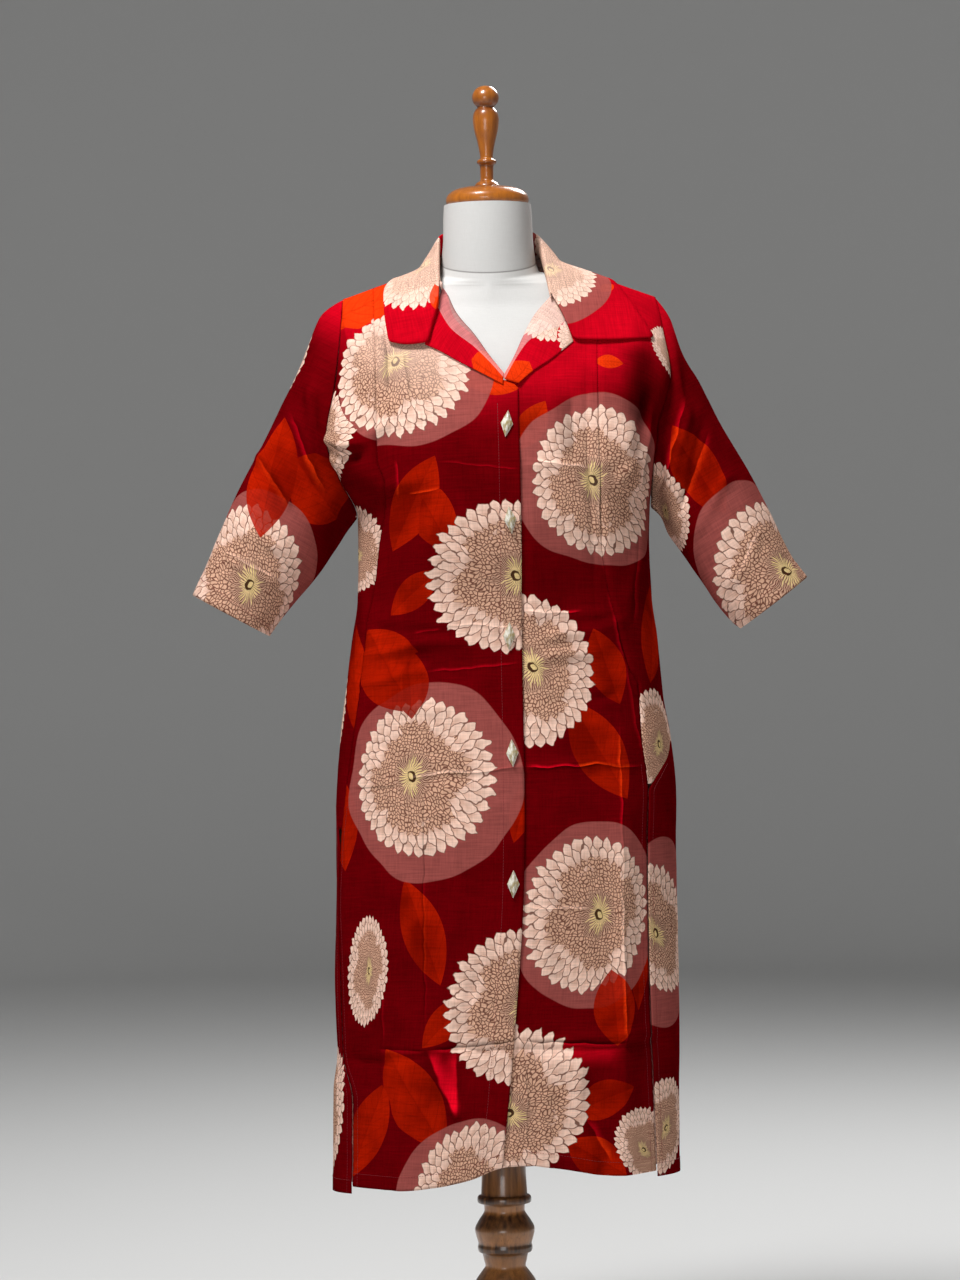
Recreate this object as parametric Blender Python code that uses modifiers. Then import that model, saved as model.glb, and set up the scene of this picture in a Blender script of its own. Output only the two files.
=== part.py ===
"""A knee-length cotton kurta tunic, buttoned down the front, on a limbless dress form.

Metres, +Z up. The garment's front faces -Y, so the wearer's right is at -X. The origin is
the middle of the underside of the stand's base, on the axis of the form and its pole.

Every row of cloth is a curve from the centre line round to the side at one nominal height h,
read from the tables below. Panels, collar, lapels and sleeves take their points from those
rows, so that neighbouring pieces follow the same seam.
"""
import functools
import math

import bmesh
import bpy
import numpy as np
from mathutils import Vector
from mathutils.bvhtree import BVHTree

# ---------------------------------------------------------------- driving dimensions
WALL = 0.0015            # cloth, with its seam allowances
SEAM = 0.0006            # gap between two pieces at a seam
SIDE_GAP = 0.0009        # at the side seams, which curve
ROOT_RINGS = 3.5         # the armhole's outline fades out of the sleeve over this many rings
ARMHOLE_GAP = 0.0007     # and where a sleeve is set in
TIP_WIDTH = 0.004        # of a side front where it runs out in the slit
SLIT_TOP = {"right": 0.755, "left": 0.800}
SLIT_WIDTH = 0.006       # between the back's edge and the front's
BAND_HALF = 0.015        # button line to the edge of the front band
UNDERLAP = 0.014         # how far the left front runs under the right one
UNDERLAP_DROP = 0.0027   # how much deeper it lies there
LAPEL_LIFT = 0.0026      # outer side of a lapel above the front
LEAF_LIFT = 0.0048       # the same for the collar's leaf
GORGE_LIFT = 0.0062      # and for the leaf where it covers the lapel
HEM_TOP = 0.310          # folds that end below this run out through the hem
HEM_BLEND = 0.42         # rows below this height spread to follow the hem
SHOULDER_H = 1.400       # nominal height of the shoulder seam
NECK_BLEND = 1.300       # rows of the back above this bend to the neckline
BACK_NECK_HALF = 0.078   # of the back neckline's width
BACK_NECK_DIP = 0.022    # how much lower it is in the middle
UNDERARM_H = 1.100       # nominal height of the underarm
NECK_AXIS = 0.0017       # the form's neck stands this far to the left of the axis
NECK_TILT = 0.29         # rise per metre of depth of the seam round the neck
BASE_RADIUS = 0.165
BUTTON_SIZE = (0.0135, 0.0052, 0.034)
BUTTON_LIFT = 0.0006     # from the band, so that it clears it all over

# ---------------------------------------------------------------- tables
MIDDLE_COLUMNS = ("h", "z_front", "x_front", "y_front", "z_back", "x_back", "y_back",
                  "power_front", "power_back")
MIDDLE = (
    (0.262, 0.262, -0.0190, -0.101, 0.262, 0.003, 0.118, 2.10, 2.2),
    (0.310, 0.310, -0.0160, -0.102, 0.310, 0.003, 0.120, 2.10, 2.2),
    (0.390, 0.390, -0.0070, -0.104, 0.390, 0.004, 0.123, 2.10, 2.2),
    (0.500, 0.500, 0.0040, -0.107, 0.500, 0.007, 0.126, 2.15, 2.2),
    (0.650, 0.650, 0.0155, -0.112, 0.650, 0.010, 0.128, 2.20, 2.3),
    (0.755, 0.755, 0.0180, -0.113, 0.755, 0.012, 0.127, 2.20, 2.3),
    (0.840, 0.840, 0.0185, -0.110, 0.840, 0.012, 0.120, 2.25, 2.3),
    (0.930, 0.930, 0.0185, -0.106, 0.930, 0.013, 0.102, 2.30, 2.3),
    (0.995, 0.995, 0.0190, -0.111, 0.995, 0.014, 0.097, 2.35, 2.4),
    (1.060, 1.060, 0.0200, -0.126, 1.060, 0.014, 0.102, 2.40, 2.4),
    (1.100, 1.100, 0.0200, -0.131, 1.100, 0.014, 0.106, 2.40, 2.4),
    (1.160, 1.160, 0.0200, -0.130, 1.160, 0.014, 0.110, 2.40, 2.4),
    (1.220, 1.222, 0.0195, -0.119, 1.225, 0.014, 0.111, 2.30, 2.4),
    (1.280, 1.285, 0.0195, -0.099, 1.292, 0.014, 0.105, 2.20, 2.3),
    (1.340, 1.348, 0.0195, -0.072, 1.358, 0.014, 0.093, 2.10, 2.2),
    (1.370, 1.394, 0.0195, -0.050, 1.400, 0.014, 0.076, 2.00, 2.1),
    (1.388, 1.423, 0.0195, -0.026, 1.427, 0.014, 0.048, 2.00, 2.0),
    (1.397, 1.434, 0.0195, -0.008, 1.435, 0.014, 0.012, 2.00, 2.0),
    (1.400, 1.436, 0.0195, -0.0004, 1.436, 0.014, 0.0004, 2.00, 2.0),
)
SIDE_COLUMNS = ("h", "z_right", "x_right", "z_left", "x_left", "y_front", "y_back")
SIDE = (
    (0.262, 0.262, -0.2123, 0.262, 0.2184, 0.006, 0.006),
    (0.390, 0.390, -0.2100, 0.390, 0.2188, 0.006, 0.006),
    (0.440, 0.440, -0.2045, 0.440, 0.2200, 0.006, 0.006),
    (0.500, 0.500, -0.2054, 0.500, 0.2210, 0.006, 0.006),
    (0.650, 0.650, -0.2002, 0.650, 0.2210, 0.006, 0.006),
    (0.755, 0.755, -0.1983, 0.755, 0.2221, 0.005, 0.005),
    (0.820, 0.820, -0.1934, 0.820, 0.2170, 0.005, 0.005),
    (0.870, 0.870, -0.1874, 0.870, 0.2085, 0.004, 0.004),
    (0.945, 0.945, -0.1761, 0.945, 0.2032, 0.002, 0.002),
    (0.995, 0.995, -0.1678, 0.995, 0.1967, 0.000, 0.000),
    (1.060, 1.060, -0.1660, 1.064, 0.1944, 0.000, 0.000),
    (1.100, 1.100, -0.1659, 1.107, 0.1964, 0.000, 0.000),
    (1.160, 1.145, -0.1850, 1.152, 0.1990, -0.043, 0.045),
    (1.220, 1.197, -0.2010, 1.203, 0.2040, -0.060, 0.062),
    (1.280, 1.262, -0.1900, 1.268, 0.2210, -0.055, 0.060),
    (1.340, 1.328, -0.1825, 1.325, 0.2140, -0.034, 0.040),
    (1.370, 1.352, -0.1808, 1.348, 0.2110, -0.022, 0.026),
    (1.388, 1.366, -0.1800, 1.362, 0.2085, -0.012, 0.014),
    (1.397, 1.3710, -0.1796, 1.3666, 0.2077, -0.004, 0.004),
    (1.400, 1.3715, -0.1795, 1.3670, 0.2075, -0.0004, 0.0004),
)
# The seam down each front from shoulder to slit, then the front edge of the slit.
PANEL_SEAM_COLUMNS = ("h", "x_right", "x_left")
PANEL_SEAM = (
    (0.262, -0.1861, 0.1878),
    (0.386, -0.1840, 0.1850),
    (0.438, -0.1965, 0.1835),
    (0.500, -0.1975, 0.1825),
    (0.600, -0.1975, 0.1822),
    (0.692, -0.1931, 0.1822),
    (0.760, -0.1860, 0.1848),
    (0.827, -0.1759, 0.1780),
    (0.888, -0.1662, 0.1755),
    (0.906, -0.1640, 0.1655),
    (0.965, -0.1545, 0.1495),
    (1.022, -0.1440, 0.1371),
    (1.066, -0.1385, 0.1330),
    (1.107, -0.1304, 0.1330),
    (1.141, -0.1290, 0.1330),
    (1.180, -0.1380, 0.1320),
    (1.266, -0.1385, 0.1317),
    (1.400, -0.1415, 0.1335),
)
# Share of the way from the side line to the front's edge at which the side seam, and below it
# the back's slit edge, runs forward.
SLIT_COLUMNS = ("h", "right", "left")
SLIT = (
    (0.690, 1.00, 1.00),
    (0.755, 0.25, 1.00),
    (0.780, 0.00, 0.75),
    (0.800, 0.00, 0.45),
    (0.840, 0.00, 0.00),
)
NECK_EDGE_COLUMNS = ("h", "right", "left")   # x of the fronts' inner edge above the break
NECK_EDGE = (
    (1.248, 0.0300, 0.0130),
    (1.262, 0.0060, 0.0300),
    (1.284, -0.0190, 0.0500),
    (1.302, -0.0400, 0.0690),
    (1.325, -0.0640, 0.0960),
    (1.360, -0.0680, 0.0950),
    (1.400, -0.0710, 0.0880),
)
HEM_COLUMNS = ("h", "front", "back")         # h is x here: the hem's height across the body
HEM = (
    (-0.215, 0.279, 0.268),
    (-0.127, 0.277, 0.272),
    (-0.078, 0.282, 0.274),
    (-0.041, 0.291, 0.275),
    (-0.005, 0.304, 0.276),
    (0.026, 0.306, 0.277),
    (0.068, 0.301, 0.279),
    (0.143, 0.289, 0.283),
    (0.222, 0.293, 0.284),
)
# Sleeves ring by ring: outer and under edge seen from the front, then half the depth.
SLEEVE_COLUMNS = ("h", "x_out", "z_out", "x_under", "z_under", "half", "y")
SLEEVE_RIGHT = (
    (0, -0.1795, 1.3715, -0.1659, 1.1000, 0.062, 0.001),
    (1, -0.2060, 1.3530, -0.1790, 1.0840, 0.062, 0.001),
    (2, -0.2344, 1.2886, -0.1950, 1.0600, 0.064, 0.000),
    (3, -0.2602, 1.2358, -0.2110, 1.0370, 0.061, -0.002),
    (4, -0.2859, 1.1866, -0.2260, 1.0190, 0.057, -0.004),
    (5, -0.3115, 1.1412, -0.2410, 1.0020, 0.053, -0.007),
    (6, -0.3438, 1.0699, -0.2600, 0.9790, 0.047, -0.010),
    (7, -0.3722, 1.0084, -0.2777, 0.9558, 0.042, -0.012),
)
SLEEVE_LEFT = (
    (0, 0.2075, 1.3670, 0.1964, 1.1070, 0.062, 0.001),
    (1, 0.2240, 1.3420, 0.2095, 1.0945, 0.062, 0.001),
    (2, 0.2400, 1.2950, 0.2180, 1.0740, 0.064, 0.000),
    (3, 0.2612, 1.2572, 0.2310, 1.0550, 0.062, -0.001),
    (4, 0.2851, 1.2071, 0.2450, 1.0330, 0.058, -0.003),
    (5, 0.3091, 1.1632, 0.2590, 1.0120, 0.054, -0.006),
    (6, 0.3420, 1.1000, 0.2750, 0.9870, 0.049, -0.009),
    (7, 0.3700, 1.0420, 0.2920, 0.9660, 0.044, -0.012),
    (8, 0.3882, 1.0166, 0.3052, 0.9549, 0.041, -0.013),
)
# Large folds: face, ends as (x, z), width and height; a negative height is a trough.
FOLD_COLUMNS = ("face", "x0", "z0", "x1", "z1", "width", "height")
FOLDS = (
    ("front", 0.153, 0.820, 0.150, 0.270, 0.016, 0.006),
    ("front", -0.160, 1.340, -0.135, 1.170, 0.016, 0.004),
    ("front", -0.185, 1.230, -0.150, 1.130, 0.018, 0.006),
    ("front", 0.185, 1.330, 0.165, 1.150, 0.016, 0.005),
    ("front", 0.170, 1.250, 0.200, 1.130, 0.014, -0.004),
    ("front", -0.130, 0.985, -0.030, 0.925, 0.020, 0.004),
    ("front", -0.150, 0.930, -0.050, 0.900, 0.018, -0.003),
    ("front", 0.060, 0.955, 0.140, 0.930, 0.020, 0.003),
    ("front", -0.112, 0.500, -0.110, 0.270, 0.022, 0.005),
    ("front", -0.050, 0.420, -0.040, 0.280, 0.022, 0.006),
    ("front", 0.080, 0.480, 0.085, 0.290, 0.022, 0.004),
    ("back", -0.080, 0.760, -0.095, 0.270, 0.030, 0.008),
    ("back", 0.090, 0.780, 0.110, 0.270, 0.030, 0.008),
    ("back", 0.010, 0.700, 0.005, 0.270, 0.032, -0.006),
    ("back", -0.110, 0.990, 0.000, 0.950, 0.022, 0.005),
    ("back", 0.130, 0.980, 0.020, 0.935, 0.022, 0.005),
    ("back", -0.150, 1.300, -0.120, 1.120, 0.020, 0.005),
    ("back", 0.165, 1.300, 0.140, 1.120, 0.020, 0.005),
)
# Lapels from the break to the collar: inner strip, roll and outer edge seen from the front.
LAPEL_COLUMNS = ("h", "x_in", "z_in", "x_roll", "z_roll", "x_out", "z_out")
LAPEL_RIGHT = (
    (0.00, 0.0180, 1.2690, 0.0170, 1.2640, 0.0160, 1.2560),
    (0.25, 0.0014, 1.2914, 0.0000, 1.2840, -0.0090, 1.2700),
    (0.50, -0.0164, 1.3186, -0.0180, 1.3025, -0.0351, 1.2842),
    (0.75, -0.0401, 1.3500, -0.0470, 1.3270, -0.0580, 1.2980),
    (1.00, -0.0520, 1.3720, -0.0570, 1.3520, -0.0740, 1.3085),
)
LAPEL_LEFT = (
    (0.00, 0.0215, 1.2720, 0.0225, 1.2680, 0.0390, 1.2620),
    (0.25, 0.0300, 1.2900, 0.0330, 1.2880, 0.0560, 1.2740),
    (0.50, 0.0420, 1.3160, 0.0500, 1.3100, 0.0740, 1.2850),
    (0.75, 0.0560, 1.3420, 0.0690, 1.3210, 0.0900, 1.2975),
    (1.00, 0.0710, 1.3620, 0.0880, 1.3260, 0.1020, 1.3080),
)
# Collar, from the gorge at the front to the middle of the back.
COLLAR_COLUMNS = ("h", "x_fold", "y_fold", "z_fold", "x_leaf", "y_leaf", "z_leaf", "stand")
COLLAR_RIGHT = (
    (0.00, -0.0590, -0.058, 1.3860, -0.1226, -0.080, 1.3131, 0.010),
    (0.12, -0.0604, -0.044, 1.4030, -0.1250, -0.050, 1.3420, 0.013),
    (0.28, -0.0600, -0.020, 1.4290, -0.1245, -0.026, 1.3640, 0.020),
    (0.44, -0.0595, 0.012, 1.4480, -0.1080, 0.012, 1.3920, 0.026),
    (0.62, -0.0510, 0.044, 1.4570, -0.0900, 0.070, 1.3780, 0.032),
    (0.82, -0.0220, 0.066, 1.4610, -0.0420, 0.105, 1.3720, 0.036),
    (1.00, 0.0060, 0.071, 1.4620, 0.0100, 0.112, 1.3700, 0.037),
)
COLLAR_LEFT = (
    (0.00, 0.0774, -0.060, 1.3718, 0.2005, -0.060, 1.3105, 0.010),
    (0.12, 0.0745, -0.044, 1.3930, 0.1850, -0.045, 1.3330, 0.013),
    (0.28, 0.0700, -0.018, 1.4230, 0.1570, -0.016, 1.3690, 0.020),
    (0.44, 0.0650, 0.014, 1.4470, 0.1350, 0.014, 1.3880, 0.026),
    (0.62, 0.0550, 0.044, 1.4570, 0.1080, 0.070, 1.3800, 0.032),
    (0.82, 0.0310, 0.066, 1.4610, 0.0600, 0.105, 1.3730, 0.036),
    (1.00, 0.0060, 0.071, 1.4620, 0.0100, 0.112, 1.3700, 0.037),
)
# The leaf's front end: from the fold down the gorge, then along the lower edge to its point.
GORGE_COLUMNS = ("h", "x_right", "z_right", "x_left", "z_left")
GORGE = (
    (0.00, -0.0590, 1.3860, 0.0774, 1.3718),
    (0.20, -0.0600, 1.3600, 0.0867, 1.3517),
    (0.40, -0.0680, 1.3300, 0.0961, 1.3283),
    (0.55, -0.0760, 1.3095, 0.1045, 1.3100),
    (0.78, -0.1000, 1.3085, 0.1530, 1.3085),
    (1.00, -0.1226, 1.3131, 0.2005, 1.3105),
)
FORM_COLUMNS = ("h", "half", "y_front", "y_back", "tilt", "power", "x")
FORM = (
    (0.720, 0.150, -0.076, 0.094, 0.0, 2.2, 0.000),
    (0.735, 0.157, -0.083, 0.103, 0.0, 2.2, 0.000),
    (0.800, 0.163, -0.090, 0.110, 0.0, 2.3, 0.000),
    (0.880, 0.156, -0.088, 0.100, 0.0, 2.3, 0.001),
    (0.950, 0.140, -0.086, 0.083, 0.0, 2.3, 0.002),
    (1.000, 0.137, -0.092, 0.080, 0.0, 2.3, 0.003),
    (1.060, 0.146, -0.106, 0.084, 0.0, 2.3, 0.004),
    (1.120, 0.152, -0.112, 0.090, 0.0, 2.3, 0.004),
    (1.190, 0.158, -0.108, 0.094, 0.0, 2.3, 0.004),
    (1.250, 0.163, -0.096, 0.094, 0.0, 2.2, 0.004),
    (1.300, 0.164, -0.080, 0.088, 0.02, 2.1, 0.004),
    (1.340, 0.158, -0.066, 0.078, 0.06, 1.9, 0.003),
    (1.362, 0.140, -0.058, 0.064, 0.08, 1.6, 0.003),
    (1.3866, 0.128, -0.053, 0.046, 0.08, 1.12, 0.002),
    (1.399, 0.061, -0.0560, 0.050, 0.20, 1.9, NECK_AXIS),
    (1.4125, 0.0585, -0.0560, 0.056, NECK_TILT, 2.0, NECK_AXIS),
)
BUTTONS = ((1.2074, 0.0199, 7), (1.0902, 0.0219, -6), (0.9502, 0.0182, 2), (0.8083, 0.0192, -2),
           (0.6494, 0.0175, 2))              # height, x and tilt in degrees

NECK_PROFILE = ((0.0540, 1.4848), (0.0550, 1.4700), (0.0557, 1.4400))
FINIAL_PROFILE = (
    (0.0000, 1.6336), (0.0082, 1.6316), (0.0142, 1.6262), (0.0167, 1.6188), (0.0150, 1.6118),
    (0.0105, 1.6064), (0.0128, 1.6030), (0.0152, 1.5985), (0.0162, 1.5908), (0.0148, 1.5784),
    (0.0118, 1.5660), (0.0092, 1.5536), (0.0080, 1.5432), (0.0116, 1.5402), (0.0118, 1.5368),
    (0.0086, 1.5335), (0.0082, 1.5250), (0.0083, 1.5160), (0.0125, 1.5128), (0.0155, 1.5092),
    (0.0150, 1.5069), (0.0000, 1.5069),
)
CAP_PROFILE = (
    (0.0000, 1.5065), (0.0300, 1.5063), (0.0422, 1.5030), (0.0492, 1.4975), (0.0514, 1.4915),
    (0.0505, 1.4865), (0.0480, 1.4852), (0.0000, 1.4852),
)
POLE_PROFILE = (
    (0.0000, 0.7196), (0.0230, 0.7196), (0.0240, 0.5600), (0.0262, 0.3600), (0.0273, 0.2888),
    (0.0286, 0.2590), (0.0322, 0.2570), (0.0335, 0.2530), (0.0325, 0.2487), (0.0262, 0.2470),
    (0.0252, 0.2420), (0.0256, 0.2367), (0.0320, 0.2270), (0.0370, 0.2169), (0.0358, 0.2080),
    (0.0335, 0.2000), (0.0332, 0.1975), (0.0340, 0.1930), (0.0326, 0.1880), (0.0288, 0.1860),
    (0.0265, 0.1770), (0.0252, 0.1698), (0.0290, 0.1640), (0.0370, 0.1524), (0.0395, 0.1420),
    (0.0370, 0.1310), (0.0310, 0.1220), (0.0285, 0.1100), (0.0300, 0.0800), (0.0360, 0.0500),
    (0.0400, 0.0403), (0.0000, 0.0403),
)
BASE_PROFILE = (
    (0.0000, 0.0400), (0.0480, 0.0395), (0.0900, 0.0330), (0.1250, 0.0285), (0.1500, 0.0270),
    (0.1615, 0.0235), (BASE_RADIUS, 0.0150), (0.1640, 0.0030), (0.1600, 0.0000), (0.0000, 0.0000),
)

COLOURS = {
    "cloth": ((0.24, 0.006, 0.012, 1.0), 0.72),
    "canvas": ((0.74, 0.73, 0.71, 1.0), 0.85),
    "wood": ((0.30, 0.105, 0.020, 1.0), 0.28),
    "dark_wood": ((0.085, 0.030, 0.012, 1.0), 0.38),
    "pearl": ((0.78, 0.74, 0.66, 1.0), 0.25),
}


# ---------------------------------------------------------------- reading the tables
def table(columns, rows):
    """The rows as one array for each named column, with slopes that never overshoot."""
    made = {name: np.array([row[k] for row in rows]) for k, name in enumerate(columns)}
    for name in columns[1:]:
        secant = np.diff(made[name]) / np.diff(made["h"])
        inner = [0.0 if a * b <= 0 else 2 * a * b / (a + b) for a, b in zip(secant, secant[1:])]
        made["slope of " + name] = np.array([secant[0]] + inner + [secant[-1]])
    return made


MIDDLE_TABLE = table(MIDDLE_COLUMNS, MIDDLE)
SIDE_TABLE = table(SIDE_COLUMNS, SIDE)
PANEL_SEAM_TABLE = table(PANEL_SEAM_COLUMNS, PANEL_SEAM)
SLIT_TABLE = table(SLIT_COLUMNS, SLIT)
NECK_EDGE_TABLE = table(NECK_EDGE_COLUMNS, NECK_EDGE)
HEM_TABLE = table(HEM_COLUMNS, HEM)
GORGE_TABLE = table(GORGE_COLUMNS, GORGE)
FORM_TABLE = table(FORM_COLUMNS, FORM)
LAPEL_TABLES = {"right": table(LAPEL_COLUMNS, LAPEL_RIGHT), "left": table(LAPEL_COLUMNS, LAPEL_LEFT)}
COLLAR_TABLES = {"right": table(COLLAR_COLUMNS, COLLAR_RIGHT),
                 "left": table(COLLAR_COLUMNS, COLLAR_LEFT)}
SLEEVE_TABLES = {"right": table(SLEEVE_COLUMNS, SLEEVE_RIGHT),
                 "left": table(SLEEVE_COLUMNS, SLEEVE_LEFT)}


def read(rows, name, at):
    """A smooth curve through one column, read at the key value `at`."""
    keys, values = rows["h"], rows[name]
    slopes = rows["slope of " + name]
    at = min(max(at, keys[0]), keys[-1])
    k = int(np.clip(np.searchsorted(keys, at) - 1, 0, len(keys) - 2))
    span = keys[k + 1] - keys[k]
    t = (at - keys[k]) / span
    return ((1 + 2 * t) * (1 - t) ** 2 * values[k] + t * (1 - t) ** 2 * span * slopes[k]
            + t * t * (3 - 2 * t) * values[k + 1] - t * t * (1 - t) * span * slopes[k + 1])


def ease(value, low, high):
    """0 below low and 1 above high, with a smooth step between."""
    t = np.clip((value - low) / (high - low), 0.0, 1.0)
    return t * t * (3 - 2 * t)


# ---------------------------------------------------------------- rows of cloth
def quarter(side, face, h, count=90):
    """Points from the centre line round to one side, at nominal height h."""
    mid_x = read(MIDDLE_TABLE, "x_" + face, h)
    mid_y = read(MIDDLE_TABLE, "y_" + face, h)
    mid_z = read(MIDDLE_TABLE, "z_" + face, h)
    side_x = read(SIDE_TABLE, "x_" + side, h)
    side_y = read(SIDE_TABLE, "y_" + face, h)
    side_z = read(SIDE_TABLE, "z_" + side, h)
    power = read(MIDDLE_TABLE, "power_" + face, h)
    turn = np.linspace(0.0, math.pi / 2, count)
    out = np.sin(turn) ** (2 / power)
    ahead = np.clip(np.cos(turn), 0.0, 1.0) ** (2 / power)
    return np.stack((mid_x + (side_x - mid_x) * out,
                     side_y + (mid_y - side_y) * ahead,
                     mid_z + (side_z - mid_z) * out), axis=1)


def fold_height(face, x, z):
    """How far the large folds stand out of the cloth at a place seen from that face."""
    height = np.zeros_like(x)
    for fold in (dict(zip(FOLD_COLUMNS, values)) for values in FOLDS):
        if fold["face"] != face:
            continue
        dx, dz = fold["x1"] - fold["x0"], fold["z1"] - fold["z0"]
        length = math.hypot(dx, dz)
        along = ((x - fold["x0"]) * dx + (z - fold["z0"]) * dz) / length ** 2
        across = ((x - fold["x0"]) * dz - (z - fold["z0"]) * dx) / length
        fade = ease(along, -0.1, 0.25)
        if fold["z1"] > HEM_TOP:
            fade = fade * ease(1 - along, -0.1, 0.25)
        height += fold["height"] * fade * np.exp(-(across / fold["width"]) ** 2)
    return height


def outward(points, face):
    """Unit directions out of a row, level with the floor."""
    step = np.gradient(points, axis=0)
    normal = np.stack((step[:, 1], -step[:, 0], np.zeros(len(points))), axis=1)
    if face == "back":
        normal = -normal
    return normal / np.maximum(np.linalg.norm(normal, axis=1, keepdims=True), 1e-9)


@functools.lru_cache(maxsize=None)
def row(face, h):
    """A whole row of the front or back from the right side to the left, and its arc lengths.

    The arc length is 0 on the centre line and negative towards the wearer's right.
    """
    right = quarter("right", face, h)[::-1]
    left = quarter("left", face, h)
    points = np.concatenate((right[:-1], left))
    height = fold_height(face, points[:, 0], points[:, 2])
    end_fade = np.minimum(np.arange(len(points)), np.arange(len(points))[::-1]) / 12
    points = points + outward(points, face) * (height * np.clip(end_fade, 0, 1))[:, None]
    lengths = np.linalg.norm(np.diff(points, axis=0), axis=1)
    arc = np.concatenate(([0.0], np.cumsum(lengths)))
    return points, arc - arc[len(right) - 1]


def back_row(h, past_right, past_left):
    """A row of the back that runs on round each side on to the front by the given lengths."""
    back, arc = row("back", h)
    front, front_arc = row("front", h)
    ahead_right = front[front_arc < front_arc[0] + past_right + 0.004][1:][::-1]
    ahead_left = front[front_arc > front_arc[-1] - past_left - 0.004][:-1][::-1]
    points = np.concatenate((ahead_right, back, ahead_left))
    lengths = np.linalg.norm(np.diff(points, axis=0), axis=1)
    full = np.concatenate(([0.0], np.cumsum(lengths)))
    full -= full[len(ahead_right)] - arc[0]
    return points, full, arc[0] - past_right, arc[-1] + past_left


def at_arc(points, arc, places):
    """Points of a row at the given arc lengths."""
    return np.stack([np.interp(places, arc, points[:, k]) for k in range(3)], axis=1)


def arc_at_x(points, arc, x):
    """The arc length at which a front row passes x."""
    return float(np.interp(x, points[:, 0], arc))


def front_y(x, z):
    """y of the front at a place below the neckline."""
    points, arc = row("front", z)
    return at_arc(points, arc, [arc_at_x(points, arc, x)])[0][1]


def hem_height(face, x):
    return read(HEM_TABLE, face, x)


def bend_to_hem(h, hem):
    """Moves a nominal height so that the lowest row lies on the hem."""
    low = MIDDLE[0][0]
    if h >= HEM_BLEND:
        return h
    return hem + (h - low) * (HEM_BLEND - hem) / (HEM_BLEND - low)


# ---------------------------------------------------------------- panels
def side_past(side, h):
    """How far ahead of the side line the side seam or the back's slit edge lies."""
    points, arc = row("front", h)
    seam = arc_at_x(points, arc, read(PANEL_SEAM_TABLE, "x_" + side, h))
    whole = seam - arc[0] if side == "right" else arc[-1] - seam
    return whole * float(read(SLIT_TABLE, side, h))


def front_span(side, h):
    """Arc lengths of a front panel's inner and outer edge at h."""
    points, arc = row("front", h)
    sign = -1 if side == "right" else 1
    outer = arc_at_x(points, arc, read(PANEL_SEAM_TABLE, "x_" + side, h))
    if h < NECK_EDGE[0][0]:
        inner = BAND_HALF if side == "right" else -UNDERLAP
    else:
        neck = arc_at_x(points, arc, read(NECK_EDGE_TABLE, side, h))
        start = BAND_HALF if side == "right" else -UNDERLAP
        inner = start + (neck - start) * float(ease(h, 1.248, 1.262))
    return inner, outer - sign * SEAM / 2


def front_panel(side, heights, columns):
    """Points of a front panel, row by row from hem to shoulder."""
    grid = []
    for h in heights:
        inner, outer = front_span(side, h)
        line = []
        for share in np.linspace(0.0, 1.0, columns):
            place = inner + (outer - inner) * share
            points, arc = row("front", h)
            x = at_arc(points, arc, [place])[0][0]
            bent = bend_to_hem(h, hem_height("front", x))
            points, arc = row("front", bent)
            if bent != h:
                bent_inner, bent_outer = front_span(side, bent)
                place = bent_inner + (bent_outer - bent_inner) * share
            point = at_arc(points, arc, [place])[0]
            if side == "left":
                point[1] += UNDERLAP_DROP * (1 - float(ease(place, 0.017, 0.030)))
            line.append(point)
        grid.append(line)
    return np.array(grid)


def side_front_panel(side, heights, columns):
    """Points of a side front, from its tip in the slit up to the shoulder."""
    sign = -1 if side == "right" else 1
    grid = []
    for h in heights:
        points, arc = row("front", h)
        inner = arc_at_x(points, arc, read(PANEL_SEAM_TABLE, "x_" + side, h)) + sign * SEAM / 2
        end = arc[0] if side == "right" else arc[-1]
        outer = end - sign * (side_past(side, h) + SIDE_GAP / 2)
        outer = inner + sign * max((outer - inner) * sign, TIP_WIDTH)
        shares = np.linspace(0.0, 1.0, columns) ** 0.8
        grid.append(at_arc(points, arc, inner + (outer - inner) * shares))
    return np.array(grid)


def back_top(x):
    """Nominal height of the back's upper edge: neckline in the middle, shoulder seams beside."""
    share = min(abs(x - MIDDLE[-1][5]) / BACK_NECK_HALF, 1.0)
    return SHOULDER_H - BACK_NECK_DIP * (1 - share ** 2.6)


def back_panel(heights, columns):
    """Points of the back, from hem to neckline and shoulder seams."""
    grid = []
    even = np.linspace(0.0, 1.0, columns)
    shares = 0.55 * even + 0.45 * (0.5 - 0.5 * np.cos(math.pi * even))
    for h in heights:
        line = []
        for share in shares:
            bent = h
            for _ in range(2):
                points, arc, start, end = back_row(bent, side_past("right", bent),
                                                   side_past("left", bent))
                start += SIDE_GAP / 2 + slit_gap("right", bent)
                end -= SIDE_GAP / 2 + slit_gap("left", bent)
                point = at_arc(points, arc, [start + (end - start) * share])[0]
                if h < HEM_BLEND:
                    bent = bend_to_hem(h, hem_height("back", point[0]))
                elif h > NECK_BLEND:
                    rise = (h - NECK_BLEND) / (SHOULDER_H - NECK_BLEND)
                    bent = NECK_BLEND + rise * (back_top(point[0]) - NECK_BLEND)
            line.append(point)
        grid.append(line)
    return np.array(grid)


def slit_gap(side, h):
    """Width of the open slit between the back's edge and the front's."""
    return SLIT_WIDTH * float(ease(SLIT_TOP[side] - h, 0.0, 0.10))


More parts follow.
